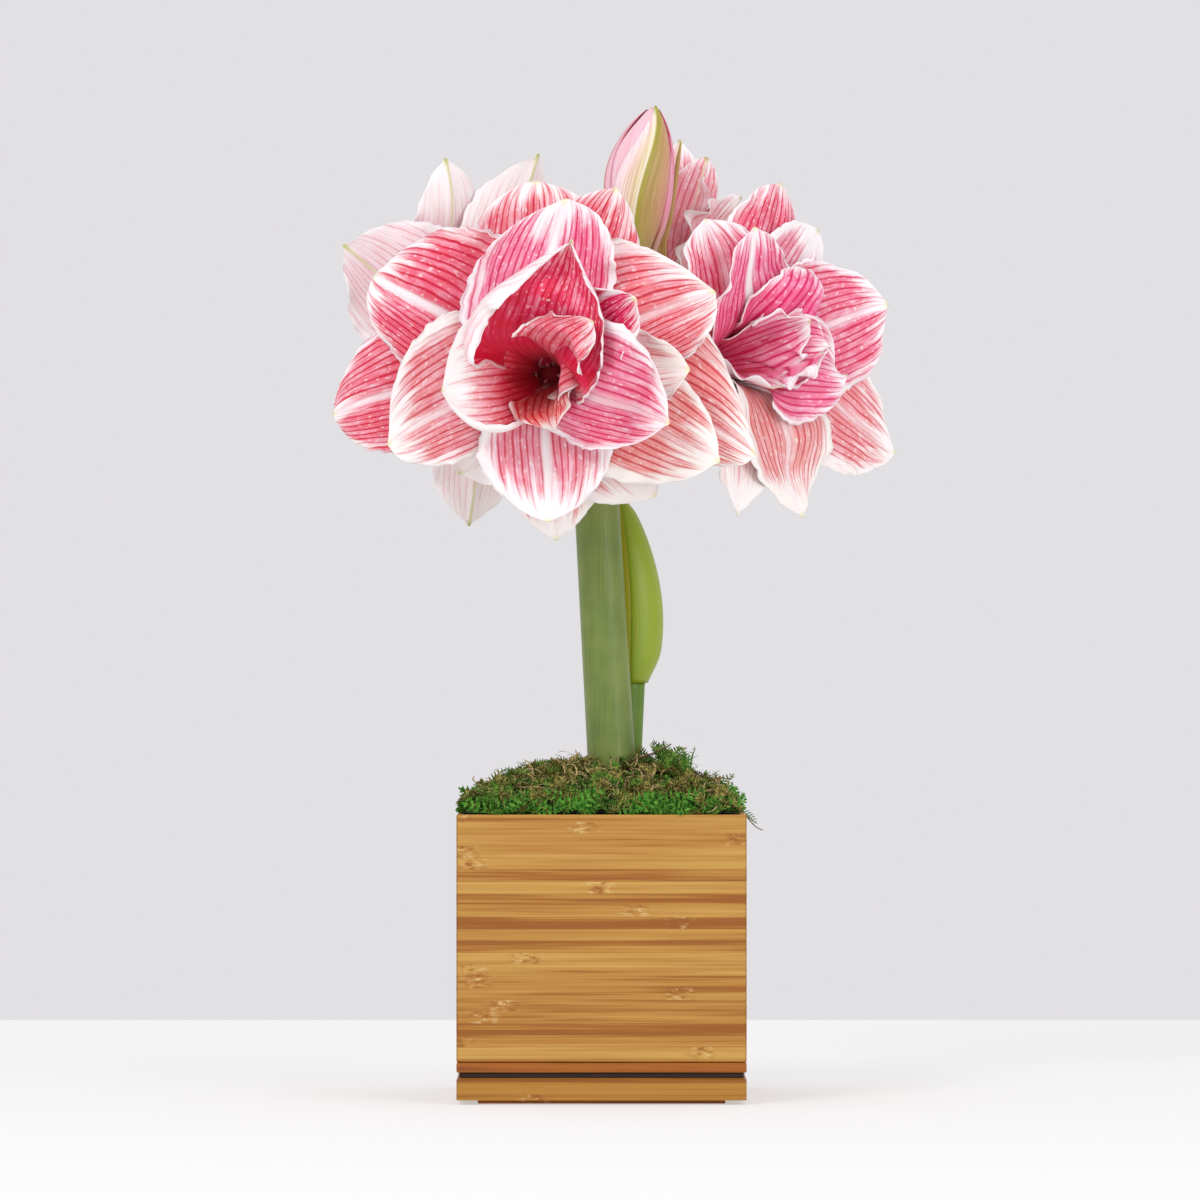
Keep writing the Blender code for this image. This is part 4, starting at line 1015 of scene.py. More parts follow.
def build_moss_bed(lumps, skin):
    """The dense mat under the sprigs, near black: its own dark olive deepened as painted shade among the
    sprigs.
    """
    mesh_data = bmesh.new()
    bmesh.ops.create_grid(mesh_data, x_segments=MAT_SQUARES, y_segments=MAT_SQUARES, size=MOSS_HALF)
    chooser = np.random.default_rng(5)
    for vert in mesh_data.verts:
        rise = moss_height(vert.co.x, vert.co.y, lumps) - MAT_SINK
        rise += chooser.uniform(-MAT_ROUGHNESS, MAT_ROUGHNESS)
        vert.co.z = MOSS_FOOT + 0.0006 + max(rise, 0.0)
    finish_piece("moss_bed", mesh_data, [skin], "moss")


def add_leaflet(mesh_data, foot, length, width, turn):
    """One small pointed leaf from its foot, pointing along +X before it is turned."""
    leaf = bmesh.ops.create_grid(mesh_data, x_segments=2, y_segments=1, size=0.5)["verts"]
    for vert in leaf:
        u = vert.co.x + 0.5
        taper = (0.35, 1.0, 0.05)[round(2 * u)]
        vert.co = Vector((u * length, vert.co.y * width * taper, 0.18 * length * u * u))
    bmesh.ops.rotate(mesh_data, verts=leaf, cent=(0, 0, 0), matrix=Euler(turn).to_matrix())
    bmesh.ops.translate(mesh_data, verts=leaf, vec=foot)


def make_sprig(length, bend, pairs, leaf_length, leaf_width, droop):
    """One feathery sprig along +X: a thin bent stalk with small pointed leaflets on both sides."""
    mesh_data = bmesh.new()
    path, radii = [], []
    for u in steps(SPRIG_STEPS):
        path.append(Vector((length * u, 0, length * (bend * math.sin(0.5 * math.pi * u) - droop * u * u))))
        radii.append(SPRIG_RADIUS * (1 - 0.6 * u))
    loft(mesh_data, tube_rings(path, radii, 3))
    for i in range(pairs):
        share = 0.10 + 0.88 * i / (pairs - 1)
        low = min(int(share * SPRIG_STEPS), SPRIG_STEPS - 1)
        foot = between(path[low], path[low + 1], share * SPRIG_STEPS - low)
        size = 0.40 + 0.60 * math.sin(math.pi * (0.20 + 0.75 * share))
        for side in (-1, 1):
            turn = (side * -0.5, -0.2, side * 0.9)
            add_leaflet(mesh_data, foot, size * leaf_length, size * leaf_width, turn)
    add_leaflet(mesh_data, path[-1], 0.6 * leaf_length, 0.6 * leaf_width, (0, 0, 0))
    return as_mesh(mesh_data, "sprig_pattern")


def make_ribbon(length, width, chooser):
    """One flat dry strand that curls as it runs along +X."""
    curl = chooser.choice((-1, 1)) * chooser.uniform(0.8, 3.4)
    wave = chooser.uniform(0.5, 1.3)
    path = [Vector((0, 0, 0))]
    for u in steps(RIBBON_STEPS)[:-1]:
        heading = Vector((math.cos(curl * u), math.sin(curl * u), 0.4 * math.sin(2 * math.pi * wave * u)))
        path.append(path[-1] + heading.normalized() * length / RIBBON_STEPS)
    mesh_data = bmesh.new()
    grid = bmesh.ops.create_grid(mesh_data, x_segments=RIBBON_STEPS, y_segments=1, size=0.5)
    for vert in grid["verts"]:
        i = round((vert.co.x + 0.5) * RIBBON_STEPS)
        heading = path[min(i + 1, RIBBON_STEPS)] - path[max(i - 1, 0)]
        across = heading.cross(Vector((0, 0.3, 1))).normalized()
        taper = 1 - 0.6 * abs(2 * i / RIBBON_STEPS - 1) ** 3
        vert.co = path[i] + vert.co.y * width * taper * across
    return as_mesh(mesh_data, "ribbon_pattern")


def placing(seat, turn, size):
    """The matrix that scales a pattern, turns it and sets it in its seat."""
    return Matrix.Translation(seat) @ Euler(turn).to_matrix().to_4x4() @ Matrix.Scale(size, 4)


def lay_copy(mesh_data, pattern, place):
    """Adds a copy of a pattern, set in its place."""
    copy = pattern.copy()
    copy.transform(place)
    mesh_data.from_mesh(copy)
    bpy.data.meshes.remove(copy)


def scatter(name, patterns, count, chooser, lumps, material, tilt, sink, sizes, spread=1.0):
    """Strews copies of the patterns over the moss, each turned its own way and leaning with the slope."""
    mesh_data = bmesh.new()
    reaches = [max(vert.co.x for vert in pattern.vertices) for pattern in patterns]
    for _ in range(count):
        x, y = chooser.uniform(-MOSS_HALF, MOSS_HALF, 2) * spread
        number = chooser.integers(len(patterns))
        size = chooser.uniform(*sizes)
        reach = size * reaches[number]
        # A few tries at a heading that keeps its tip inside the planter
        for _ in range(12):
            heading = chooser.uniform(0, 2 * math.pi)
            tip = max(abs(x + reach * math.cos(heading)), abs(y + reach * math.sin(heading)))
            if tip < MOSS_LIMIT:
                break
        slope = Vector((
            moss_height(x - SLOPE_STEP, y, lumps) - moss_height(x + SLOPE_STEP, y, lumps),
            moss_height(x, y - SLOPE_STEP, lumps) - moss_height(x, y + SLOPE_STEP, lumps),
            2 * SLOPE_STEP,
        )).normalized()
        seat = Vector((x, y, MOSS_FOOT + moss_height(x, y, lumps) - sink))
        lean = Vector((0, 0, 1)).rotation_difference(slope).to_matrix().to_4x4()
        turned = Matrix.Rotation(heading, 4, "Z")
        roll = chooser.uniform(-0.6, 0.6)
        rise = chooser.uniform(*tilt)
        leaning = placing((0, 0, 0), (roll, -rise, 0), size)
        lay_copy(mesh_data, patterns[number], Matrix.Translation(seat) @ lean @ turned @ leaning)
    finish_piece(name, mesh_data, [material], smooth=False)


def build_rim_sprigs(patterns, chooser, material):
    """Brighter, broader sprigs that lean on the rim, most of them in front."""
    mesh_data = bmesh.new()
    for side, turns in SIDES.items():
        quarter = Matrix.Rotation(turns * math.pi / 2, 4, "Z")
        for _ in range(RIM_SPRIGS[side]):
            x = chooser.uniform(-0.057, 0.064)
            y = chooser.uniform(-0.0715, -0.0680)
            z = MOSS_FOOT + chooser.uniform(-0.0005, 0.0030)
            roll = chooser.uniform(0.8, 1.5)
            rise = chooser.uniform(-0.15, 0.8)
            heading = chooser.choice((0.0, math.pi)) + chooser.uniform(-0.25, 0.25)
            place = placing((x, y, z), (roll, -rise, heading), chooser.uniform(0.7, 1.15))
            lay_copy(mesh_data, patterns[chooser.integers(len(patterns))], quarter @ place)
    finish_piece("moss_rim_sprigs", mesh_data, [material], smooth=False)


def build_tuft(sprigs, chooser, green):
    """A lacy tuft at the right of the stems, and single sprigs that poke out at the rim."""
    mesh_data = bmesh.new()
    for _ in range(TUFT_SPRIGS):
        x = chooser.uniform(0.032, 0.047)
        y = chooser.uniform(-0.030, -0.010)
        z = MOSS_FOOT + chooser.uniform(0.018, 0.024)
        roll = chooser.uniform(-1.0, 1.0)
        rise = chooser.uniform(0.6, 1.5)
        heading = chooser.uniform(0, 2 * math.pi)
        place = placing((x, y, z), (roll, -rise, heading), chooser.uniform(0.6, 0.95))
        lay_copy(mesh_data, sprigs[chooser.integers(len(sprigs))], place)
    for seat, rise, heading, size in (
        ((-0.062, -0.030, 0.1570), 0.25, math.pi - 0.1, 0.95),
        ((0.062, -0.032, 0.1570), 0.30, 0.1, 1.0),
        ((0.0735, -0.020, 0.1535), -0.75, 0.1, 0.8),
    ):
        lay_copy(mesh_data, sprigs[0], placing(seat, (0.9, -rise, heading), size))
    finish_piece("moss_tuft", mesh_data, [green], smooth=False)


def build_twigs(brown):
    """The twig that the tuft hangs on, and a thinner one that hooks over the rim at the right."""
    tuft_twig = (
        (0.0140, -0.0160, 0.1785),
        (0.0230, -0.0190, 0.1815),
        (0.0310, -0.0200, 0.1835),
        (0.0370, -0.0200, 0.1880),
    )
    rim_twig = (
        (0.0700, -0.0300, 0.1550),
        (0.0768, -0.0300, 0.1535),
        (0.0785, -0.0300, 0.1440),
        (0.0855, -0.0300, 0.1425),
    )
    mesh_data = bmesh.new()
    for course, radius in ((tuft_twig, 0.0006), (rim_twig, 0.0004)):
        places = [Vector(place) for place in course]
        path = [curve(*places, share) for share in steps(TWIG_STEPS)]
        radii = [radius * (1 - 0.4 * share) for share in steps(TWIG_STEPS)]
        loft(mesh_data, tube_rings(path, radii, 6))
    face_outwards(mesh_data)
    finish_piece("moss_twigs", mesh_data, [brown])


def build_moss(mat, green, olive, bright, dry, brown):
    """The mat, then four kinds of sprigs and strands on it, then the tuft and its twigs."""
    chooser = np.random.default_rng(23)
    lumps = moss_lumps()
    build_moss_bed(lumps, mat)
    fine = [
        make_sprig(length, bend, pairs, 0.0042, 0.0013, droop)
        for length, bend, pairs, droop in (
            (0.013, 0.15, 7, 0.10),
            (0.016, 0.25, 8, 0.30),
            (0.018, 0.10, 8, 0.20),
            (0.011, 0.30, 6, 0.05),
            (0.014, 0.05, 7, 0.35),
        )
    ]
    broad = [
        make_sprig(length, bend, 5, 0.0052, 0.0024, 0.1)
        for length, bend in ((0.010, 0.2), (0.013, 0.1), (0.015, 0.3))
    ]
    ribbons = [
        make_ribbon(length, RIBBON_WIDTH, chooser)
        for length in (0.010, 0.014, 0.018, 0.022, 0.016, 0.012, 0.026)
    ]
    for name, patterns, count, material, tilt, sink, sizes, spread in (
        ("moss_green_sprigs", fine, 860, green, (-0.1, 0.35), 0.0012, (0.7, 1.15), 1.0),
        ("moss_olive_sprigs", fine, 720, olive, (-0.1, 0.45), 0.0003, (0.6, 1.05), 1.0),
        ("moss_dry_strands", ribbons, 950, dry, (-0.15, 0.25), -0.0010, (0.5, 1.0), 0.90),
    ):
        scatter(name, patterns, count, chooser, lumps, material, tilt, sink, sizes, spread)
    build_rim_sprigs(broad, chooser, bright)
    build_tuft(fine, chooser, green)
    build_twigs(brown)
    for mesh in fine + broad + ribbons:
        bpy.data.meshes.remove(mesh)


# Planter


def break_edges(mesh_data, width):
    """Rounds every edge of a board a little."""
    bmesh.ops.bevel(
        mesh_data, geom=mesh_data.edges[:], offset=width,
        affect="EDGES", segments=3, profile=0.5, material=-1,
    )


def build_board(name, material, node, edge):
    """A rectangular board in place of its solid, with softly broken edges."""
    low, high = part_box(node)
    mesh_data = bmesh.new()
    bmesh.ops.create_cube(mesh_data, size=1)
    bmesh.ops.scale(mesh_data, vec=high - low, verts=mesh_data.verts[:])
    bmesh.ops.translate(mesh_data, vec=(low + high) / 2, verts=mesh_data.verts[:])
    break_edges(mesh_data, edge)
    finish_piece(name, mesh_data, [material], node, smooth=False)


def build_wall(side, turns, material):
    """One side of the planter: a board mitred at both ends, with softly broken edges."""
    low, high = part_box("wall_front")
    half, mitre = PLANTER_SIDE / 2, SEAT_GAP / math.sqrt(2)
    mesh_data = bmesh.new()
    bmesh.ops.create_cube(mesh_data, size=1)
    for vert in mesh_data.verts:
        outer = vert.co.y < 0
        reach = half - mitre if outer else half - WALL - mitre
        vert.co = Vector((
            math.copysign(reach, vert.co.x),
            -half if outer else WALL - half,
            low.z if vert.co.z < 0 else high.z,
        ))
    break_edges(mesh_data, WALL_EDGE)
    quarter = Matrix.Rotation(turns * math.pi / 2, 3, "Z")
    bmesh.ops.rotate(mesh_data, verts=mesh_data.verts[:], matrix=quarter)
    finish_piece(f"planter_{side}", mesh_data, [material], f"wall_{side}", smooth=False)


def dress_node(node, material):
    """Gives a piece that keeps its own solid its material."""
    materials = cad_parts[node].data.materials
    materials.clear()
    materials.append(material)


def build_planter(wall_along_x, wall_along_y, saucer_wood, dark_wood, spacer_shadow):
    """The four walls and the two dark boards. The saucer and the spacer keep their solids."""
    for side, turns in SIDES.items():
        build_wall(side, turns, wall_along_y if turns % 2 else wall_along_x)
    build_board("planter_floor_board", dark_wood, "base_board", FLOOR_BOARD_EDGE)
    build_board("saucer_foot_board", dark_wood, "saucer_foot", FOOT_BOARD_EDGE)
    dress_node("saucer", saucer_wood)
    # The spacer is painted near black: painted shadow, the shade in the gap under the planter
    dress_node("spacer", spacer_shadow)


# Materials


# Settings of a MapRange that eases in and out, and of a Mix of colours
SMOOTH = {"interpolation_type": "SMOOTHSTEP"}
COLOURS = {"data_type": "RGBA", "out": 2}

# The petals' colours at tone 0, 0.5 and 1: ground, wash, deeper wash and lines
GROUNDS = ("#fdf3f8", "#fdf4f5", "#fcf2ec")
WASHES = ("#f0358a", "#ea3a6c", "#e65555")
DEEPS = ("#dd1668", "#d0103a", "#cc2830")
VEINS = ("#cc0a58", "#c2072c", "#bd182a")


def new_petal_material(name, traits, inputs):
    """A new material that reads some of the traits kept on a sheet's points. They come last, by name."""
    material, tree, shader = new_material(name, inputs)
    read = {
        trait: add(tree, "Attribute", out="Fac", attribute_name=trait, attribute_type="GEOMETRY")
        for trait in traits
    }
    return material, tree, shader, read


def petal_skin(name, wash_share, deep_share, line_share, rib_colour, throat_colour_and_shade, tip_colour, face):
    """Living petal skin: soft and faintly translucent, with lines that fray towards a white margin.

    The three shares are how strongly wash, deeper wash and lines show: full on the face, faint behind.
    """
    material, tree, shader, read = new_petal_material(name, TRAITS, {
        "Roughness": 0.50,
        "Subsurface Weight": 0.22,
        "Subsurface Scale": 0.0022,
        "Subsurface Radius": (1.0, 0.5, 0.55),
        "Sheen Weight": 0.06,
        "Specular IOR Level": 0.28,
    })
    edge = add(tree, "Math", {0: read["across"]}, operation="ABSOLUTE")
    distance = add(tree, "Math", {0: read["offset"]}, operation="ABSOLUTE")
    place = add(tree, "CombineXYZ", {0: read["vein"], 1: read["run"], 2: read["seed"]})
    # Noises: slow for the lines' wander, long for their strokes, short for mottling and flecks
    noises = {}
    for kind, scale, detail in (
        ("wander", (0.34, 0.30, 3.7), 1.5),
        ("stroke", (0.9, 0.34, 5.3), 4.0),
        ("mottle", (0.9, 0.9, 7.7), 3.0),
        ("fleck", (2.2, 3.0, 1.9), 2.0),
    ):
        at = add(tree, "VectorMath", {0: place, 1: scale}, operation="MULTIPLY")
        noises[kind] = add(tree, "TexNoise", {"Vector": at, "Scale": 1.0, "Detail": detail})
    # Colour stops short of the margin and the tip, along an uneven border that follows the lines
    ragged = add(tree, "MapRange", {0: noises["stroke"], 1: 0.25, 2: 0.75, 3: 0.13, 4: -0.13})
    paler = add(tree, "MapRange", {0: read["blush"], 1: 0.3, 2: 0.9, 3: 0.16, 4: -0.03})
    border = add(tree, "Math", {0: ragged, 1: paler}, operation="ADD")
    uneven_edge = add(tree, "Math", {0: edge, 1: border}, operation="ADD")
    uneven_along = add(tree, "Math", {0: read["along"], 1: border}, operation="ADD")
    inside = add(tree, "MapRange", {0: uneven_edge, 1: 0.75, 2: 1.0, 3: 1.0, 4: 0.0}, **SMOOTH)
    before_tip = add(tree, "MapRange", {0: uneven_along, 1: 0.81, 2: 1.0, 3: 1.0, 4: 0.0}, **SMOOTH)
    area = add(tree, "Math", {0: inside, 1: before_tip}, operation="MULTIPLY")
    strength = add(tree, "Math", {0: read["blush"], 1: 0.45}, operation="POWER")
    # Lines taper and break where their stroke noise is low, with finer ones between them
    shifted = add(tree, "Math", {0: noises["wander"], 1: 1.1, 2: read["vein"]}, operation="MULTIPLY_ADD")
    near_line = add(tree, "Math", {0: shifted, 1: 0.5}, operation="PINGPONG")
    half_way = add(tree, "Math", {0: shifted, 1: 0.5}, operation="ADD")
    near_half = add(tree, "Math", {0: half_way, 1: 0.5}, operation="PINGPONG")
    drawn = []
    for nearness, low, high, widest, weight in (
        (near_line, 0.26, 0.50, 0.25, 1.0),
        (near_half, 0.44, 0.64, 0.14, 0.5),
    ):
        stroke = add(tree, "MapRange", {0: noises["stroke"], 1: low, 2: high, 3: 0.0, 4: 1.0})
        width = add(tree, "MapRange", {0: stroke, 1: 0.0, 2: 1.0, 3: 0.05, 4: widest})
        line = add(tree, "MapRange", {0: nearness, 1: 0.015, 2: width, 3: weight, 4: 0.0}, **SMOOTH)
        firm = add(tree, "MapRange", {0: stroke, 1: 0.0, 2: 0.6, 3: 0.25, 4: 1.0})
        drawn.append(add(tree, "Math", {0: line, 1: firm}, operation="MULTIPLY"))
    lines = add(tree, "Math", {0: drawn[0], 1: drawn[1]}, operation="MAXIMUM")
    reach = add(tree, "Math", {0: area, 1: 0.45}, operation="POWER")
    for factor in (reach, strength, line_share):
        lines = add(tree, "Math", {0: lines, 1: factor}, operation="MULTIPLY")
    # A blotched wash, strongest beside the lines, with white flecks, deepening into the flower
    halo = add(tree, "MapRange", {0: near_line, 1: 0.05, 2: 0.5, 3: 1.0, 4: 0.84})
    inward = add(tree, "MapRange", {0: uneven_along, 1: 0.16, 2: 0.88, 3: 1.0, 4: 0.0}, **SMOOTH)
    blotch = add(tree, "MapRange", {0: noises["mottle"], 1: 0.32, 2: 0.53, 3: 0.64, 4: 1.0})
    pale = add(tree, "MapRange", {0: noises["fleck"], 1: 0.58, 2: 0.69, 3: 0.0, 4: 1.0}, **SMOOTH)
    shown = add(tree, "MapRange", {0: inward, 1: 0.0, 2: 1.0, 3: 0.62, 4: 0.10})
    pale = add(tree, "Math", {0: pale, 1: shown}, operation="MULTIPLY")
    unflecked = add(tree, "Math", {0: 1.0, 1: pale}, operation="SUBTRACT")
    washed = area
    for factor in (halo, blotch, unflecked, strength, wash_share):
        washed = add(tree, "Math", {0: washed, 1: factor}, operation="MULTIPLY")
    deepened = inward
    for factor in (area, halo, unflecked, read["blush"], deep_share):
        deepened = add(tree, "Math", {0: deepened, 1: factor}, operation="MULTIPLY")
    # Each petal's tone drifts a little from blotch to blotch
    drift = add(tree, "MapRange", {0: noises["mottle"], 1: 0.3, 2: 0.7, 3: -0.15, 4: 0.15})
    tone = add(tree, "Math", {0: read["tone"], 1: drift}, operation="ADD", use_clamp=True)
    layers = []
    for hex_colours in (GROUNDS, WASHES, DEEPS, VEINS):
        ramp = add(tree, "ValToRGB", {0: tone})
        elements = ramp.node.color_ramp.elements
        elements.new(0.5)
        for element, position, hex_colour in zip(elements, (0.0, 0.5, 1.0), hex_colours):
            element.position = position
            element.color = linear(hex_colour)
        layers.append(ramp)
    # The middle band: white on the face, a thin pale green rib behind
    if face:
        band_edge = add(tree, "MapRange", {0: noises["stroke"], 1: 0.3, 2: 0.7, 3: 0.0054, 4: 0.0024})
        band_range = {0: distance, 1: 0.0008, 2: band_edge, 3: 1.0, 4: 0.0}
        clear_range = {0: read["along"], 1: 0.22, 2: 0.55, 3: 0.0, 4: 1.0}
    else:
        band_range = {0: distance, 1: 0.0002, 2: 0.0013, 3: 1.0, 4: 0.0}
        clear_range = {0: read["along"], 1: 0.30, 2: 0.98, 3: 0.15, 4: 0.75}
    band = add(tree, "MapRange", band_range, **SMOOTH)
    clear = add(tree, "MapRange", clear_range, **SMOOTH)
    for factor in (read["rib"], clear) if face else (clear,):
        band = add(tree, "Math", {0: band, 1: factor}, operation="MULTIPLY")
    # The throat at the petal's foot: on the face crimson deepened as painted shade of the cup, pale green
    # behind;
    # and a green point at the tip
    throat = add(tree, "MapRange", {0: read["run"], 1: 0.6, 2: 2.4, 3: 0.95, 4: 0.0}, **SMOOTH)
    point = add(tree, "MapRange", {0: distance, 1: 0.0008, 2: 0.0030, 3: 1.0, 4: 0.0})
    tip = add(tree, "MapRange", {0: read["along"], 1: 0.965, 2: 1.0, 3: 0.0, 4: 0.8})
    tip = add(tree, "Math", {0: tip, 1: point}, operation="MULTIPLY")
    colour, wash, deep, vein = layers
    for amount, over in (
        (washed, wash),
        (deepened, deep),
        (lines, vein),
        (band, linear(rib_colour)),
        (throat, linear(throat_colour_and_shade)),
        (tip, linear(tip_colour)),
    ):
        colour = add(tree, "Mix", {0: amount, 6: colour, 7: over}, **COLOURS)
    # Shallow pleats along the lines, and the sparkle of fine cells, drawn coarser than they are
    cells_at = add(tree, "TexCoord", out="Object")
    cells = add(tree, "TexNoise", {"Vector": cells_at, "Scale": PETAL_CELLS, "Detail": 2.0})
    pleats = add(tree, "Math", {0: near_line, 1: 1.6, 2: cells}, operation="MULTIPLY_ADD")
    bump = add(tree, "Bump", {"Height": pleats, "Strength": 0.22, "Distance": 0.0003})
    plug(tree, shader, {"Base Color": colour, "Normal": bump})
    return material


def plant_skin(name, colour, pale, fibres_per_metre, roughness=0.42):
    """Smooth, slightly waxy plant skin with fine lengthwise fibres, a millimetre or so apart."""
    material, tree, shader = new_material(name, {
        "Roughness": roughness,
        "Subsurface Weight": 0.06,
        "Subsurface Scale": 0.003,
    })
    place = add(tree, "TexCoord", out="Object")
    long = add(tree, "VectorMath", {0: place, 1: FIBRE_LENGTHEN}, operation="MULTIPLY")
    fibres = add(tree, "TexNoise", {"Vector": long, "Scale": fibres_per_metre, "Detail": 3.0})
    cloud = add(tree, "TexNoise", {"Vector": place, "Scale": STEM_CLOUDS, "Detail": 3.0})
    mixed = add(tree, "Math", {0: fibres, 1: 0.55, 2: cloud}, operation="MULTIPLY_ADD")
    amount = add(tree, "MapRange", {0: mixed, 1: 0.50, 2: 1.05, 3: 0.0, 4: 1.0})
    tone = add(tree, "Mix", {0: amount, 6: linear(colour), 7: linear(pale)}, **COLOURS)
    bump = add(tree, "Bump", {"Height": fibres, "Strength": 0.25, "Distance": 0.0002})
    plug(tree, shader, {"Base Color": tone, "Normal": bump})
    return material


def spathe_skin(name, green, yellow):
    """The leathery sheath of a shut bud: faint sheen, and parallel green veins on a yellower ground."""
    material, tree, shader, read = new_petal_material(name, ("vein", "along", "blush"), {
        "Roughness": 0.40,
        "Subsurface Weight": 0.06,
        "Subsurface Scale": 0.003,
    })
    place = add(tree, "CombineXYZ", {0: read["vein"], 1: read["along"], 2: read["blush"]})
    run = add(tree, "VectorMath", {0: place, 1: (2.0, 1.6, 4.0)}, operation="MULTIPLY")
    fibres = add(tree, "TexNoise", {"Vector": run, "Scale": 1.0, "Detail": 3.0})
    amount = add(tree, "MapRange", {0: fibres, 1: 0.30, 2: 0.70, 3: -0.25, 4: 0.25})
    mixed = add(tree, "Math", {0: read["blush"], 1: amount}, operation="ADD", use_clamp=True)
    tone = add(tree, "Mix", {0: mixed, 6: linear(green), 7: linear(yellow)}, **COLOURS)
    bump = add(tree, "Bump", {"Height": fibres, "Strength": 0.4, "Distance": 0.0003})
    plug(tree, shader, {"Base Color": tone, "Normal": bump})
    return material


BUD_SKIN = {"Roughness": 0.45, "Subsurface Weight": 0.10, "Subsurface Scale": 0.002}


def bud_front_skin(name):
    """The outer sepal in front, matt and fibrous: cream and pink left of its olive keel, and a darker tan
    right of it, partly its own colour and partly painted shade on the far side of its fold.
    """
    traits = ("vein", "along", "seed", "across", "offset")
    material, tree, shader, read = new_petal_material(name, traits, BUD_SKIN)
    place = add(tree, "CombineXYZ", {0: read["vein"], 1: read["along"], 2: read["seed"]})
    run = add(tree, "VectorMath", {0: place, 1: (2.2, 2.6, 3.0)}, operation="MULTIPLY")
    fibres = add(tree, "TexNoise", {"Vector": run, "Scale": 1.0, "Detail": 3.0})
    edge = add(tree, "Math", {0: read["across"]}, operation="ABSOLUTE")
    streak = add(tree, "MapRange", {0: fibres, 1: 0.42, 2: 0.66, 3: 0.0, 4: 0.75})
    # Left and right of the keel: a ground and its streaks, each changing from keel to margin.
    # The right half is darker: partly its own tan, partly painted shade on the far side of the fold
    halves = []
    for start, stop, grounds, streaks in (
        (0.15, 0.75, ("#ead9ae", "#fae6e8"), ("#b9a05c", "#efa3b6")),
        (0.35, 0.95, ("#b99a5a", "#dba08c"), ("#968036", "#c47a6c")),
    ):
        outward = add(tree, "MapRange", {0: edge, 1: start, 2: stop, 3: 0.0, 4: 1.0})
        tones = [
            add(tree, "Mix", {0: outward, 6: linear(near), 7: linear(far)}, **COLOURS)
            for near, far in (grounds, streaks)
        ]
        streaked = add(tree, "Mix", {0: streak, 6: tones[0], 7: tones[1]}, **COLOURS)
        halves.append(streaked)
    shaded_right_half = add(tree, "MapRange", {0: read["offset"], 1: -0.0006, 2: 0.0004, 3: 0.0, 4: 1.0})
    colour = add(tree, "Mix", {0: shaded_right_half, 6: halves[0], 7: halves[1]}, **COLOURS)
    # A pale line beside the olive keel
    for start, rise, fall, stop, hex_colour in (
        (-0.0026, -0.0014, -0.0010, -0.0004, "#efe6cf"),
        (-0.0010, -0.0002, 0.0010, 0.0030, "#a29a30"),
    ):
        risen = add(tree, "MapRange", {0: read["offset"], 1: start, 2: rise, 3: 0.0, 4: 0.9})
        kept = add(tree, "MapRange", {0: read["offset"], 1: fall, 2: stop, 3: 1.0, 4: 0.0})
        line = add(tree, "Math", {0: risen, 1: kept}, operation="MULTIPLY")
        colour = add(tree, "Mix", {0: line, 6: colour, 7: linear(hex_colour)}, **COLOURS)
    # Greener at its foot and at its tip
    low = add(tree, "MapRange", {0: read["along"], 1: 0.05, 2: 0.42, 3: 0.9, 4: 0.0})
    tip = add(tree, "MapRange", {0: read["along"], 1: 0.93, 2: 1.0, 3: 0.0, 4: 0.9})
    for amount, hex_colour in ((low, "#9aa04a"), (tip, "#a3ad2c")):
        colour = add(tree, "Mix", {0: amount, 6: colour, 7: linear(hex_colour)}, **COLOURS)
    bump = add(tree, "Bump", {"Height": fibres, "Strength": 0.35, "Distance": 0.0003})
    plug(tree, shader, {"Base Color": colour, "Normal": bump})
    return material


def bud_side_skin(name):
    """The bud's other petals, matt and streaked: pink with crimson seams, or tan by their tone."""
    traits = ("vein", "along", "seed", "across", "blush", "tone")
    material, tree, shader, read = new_petal_material(name, traits, BUD_SKIN)
    place = add(tree, "CombineXYZ", {0: read["vein"], 1: read["along"], 2: read["seed"]})
    run = add(tree, "VectorMath", {0: place, 1: (1.6, 2.0, 3.0)}, operation="MULTIPLY")
    fibres = add(tree, "TexNoise", {"Vector": run, "Scale": 1.0, "Detail": 3.0})
    streak = add(tree, "MapRange", {0: fibres, 1: 0.35, 2: 0.68, 3: 0.25, 4: 1.0})
    streak = add(tree, "Math", {0: streak, 1: read["blush"]}, operation="MULTIPLY")
    pink, tan = [
        add(tree, "Mix", {0: streak, 6: linear(ground), 7: linear(strong)}, **COLOURS)
        for ground, strong in (("#f9d3de", "#dd5480"), ("#e6bf9f", "#c88f62"))
    ]
    colour = add(tree, "Mix", {0: read["tone"], 6: pink, 7: tan}, **COLOURS)
    edge = add(tree, "Math", {0: read["across"]}, operation="ABSOLUTE")
    seam = add(tree, "MapRange", {0: edge, 1: 0.82, 2: 0.97, 3: 0.0, 4: 0.85})
    low = add(tree, "MapRange", {0: read["along"], 1: 0.05, 2: 0.42, 3: 0.9, 4: 0.0})
    for amount, hex_colour in ((seam, "#b8123f"), (low, "#9aa552")):
        colour = add(tree, "Mix", {0: amount, 6: colour, 7: linear(hex_colour)}, **COLOURS)
    bump = add(tree, "Bump", {"Height": fibres, "Strength": 0.3, "Distance": 0.0003})
    plug(tree, shader, {"Base Color": colour, "Normal": bump})
    return material


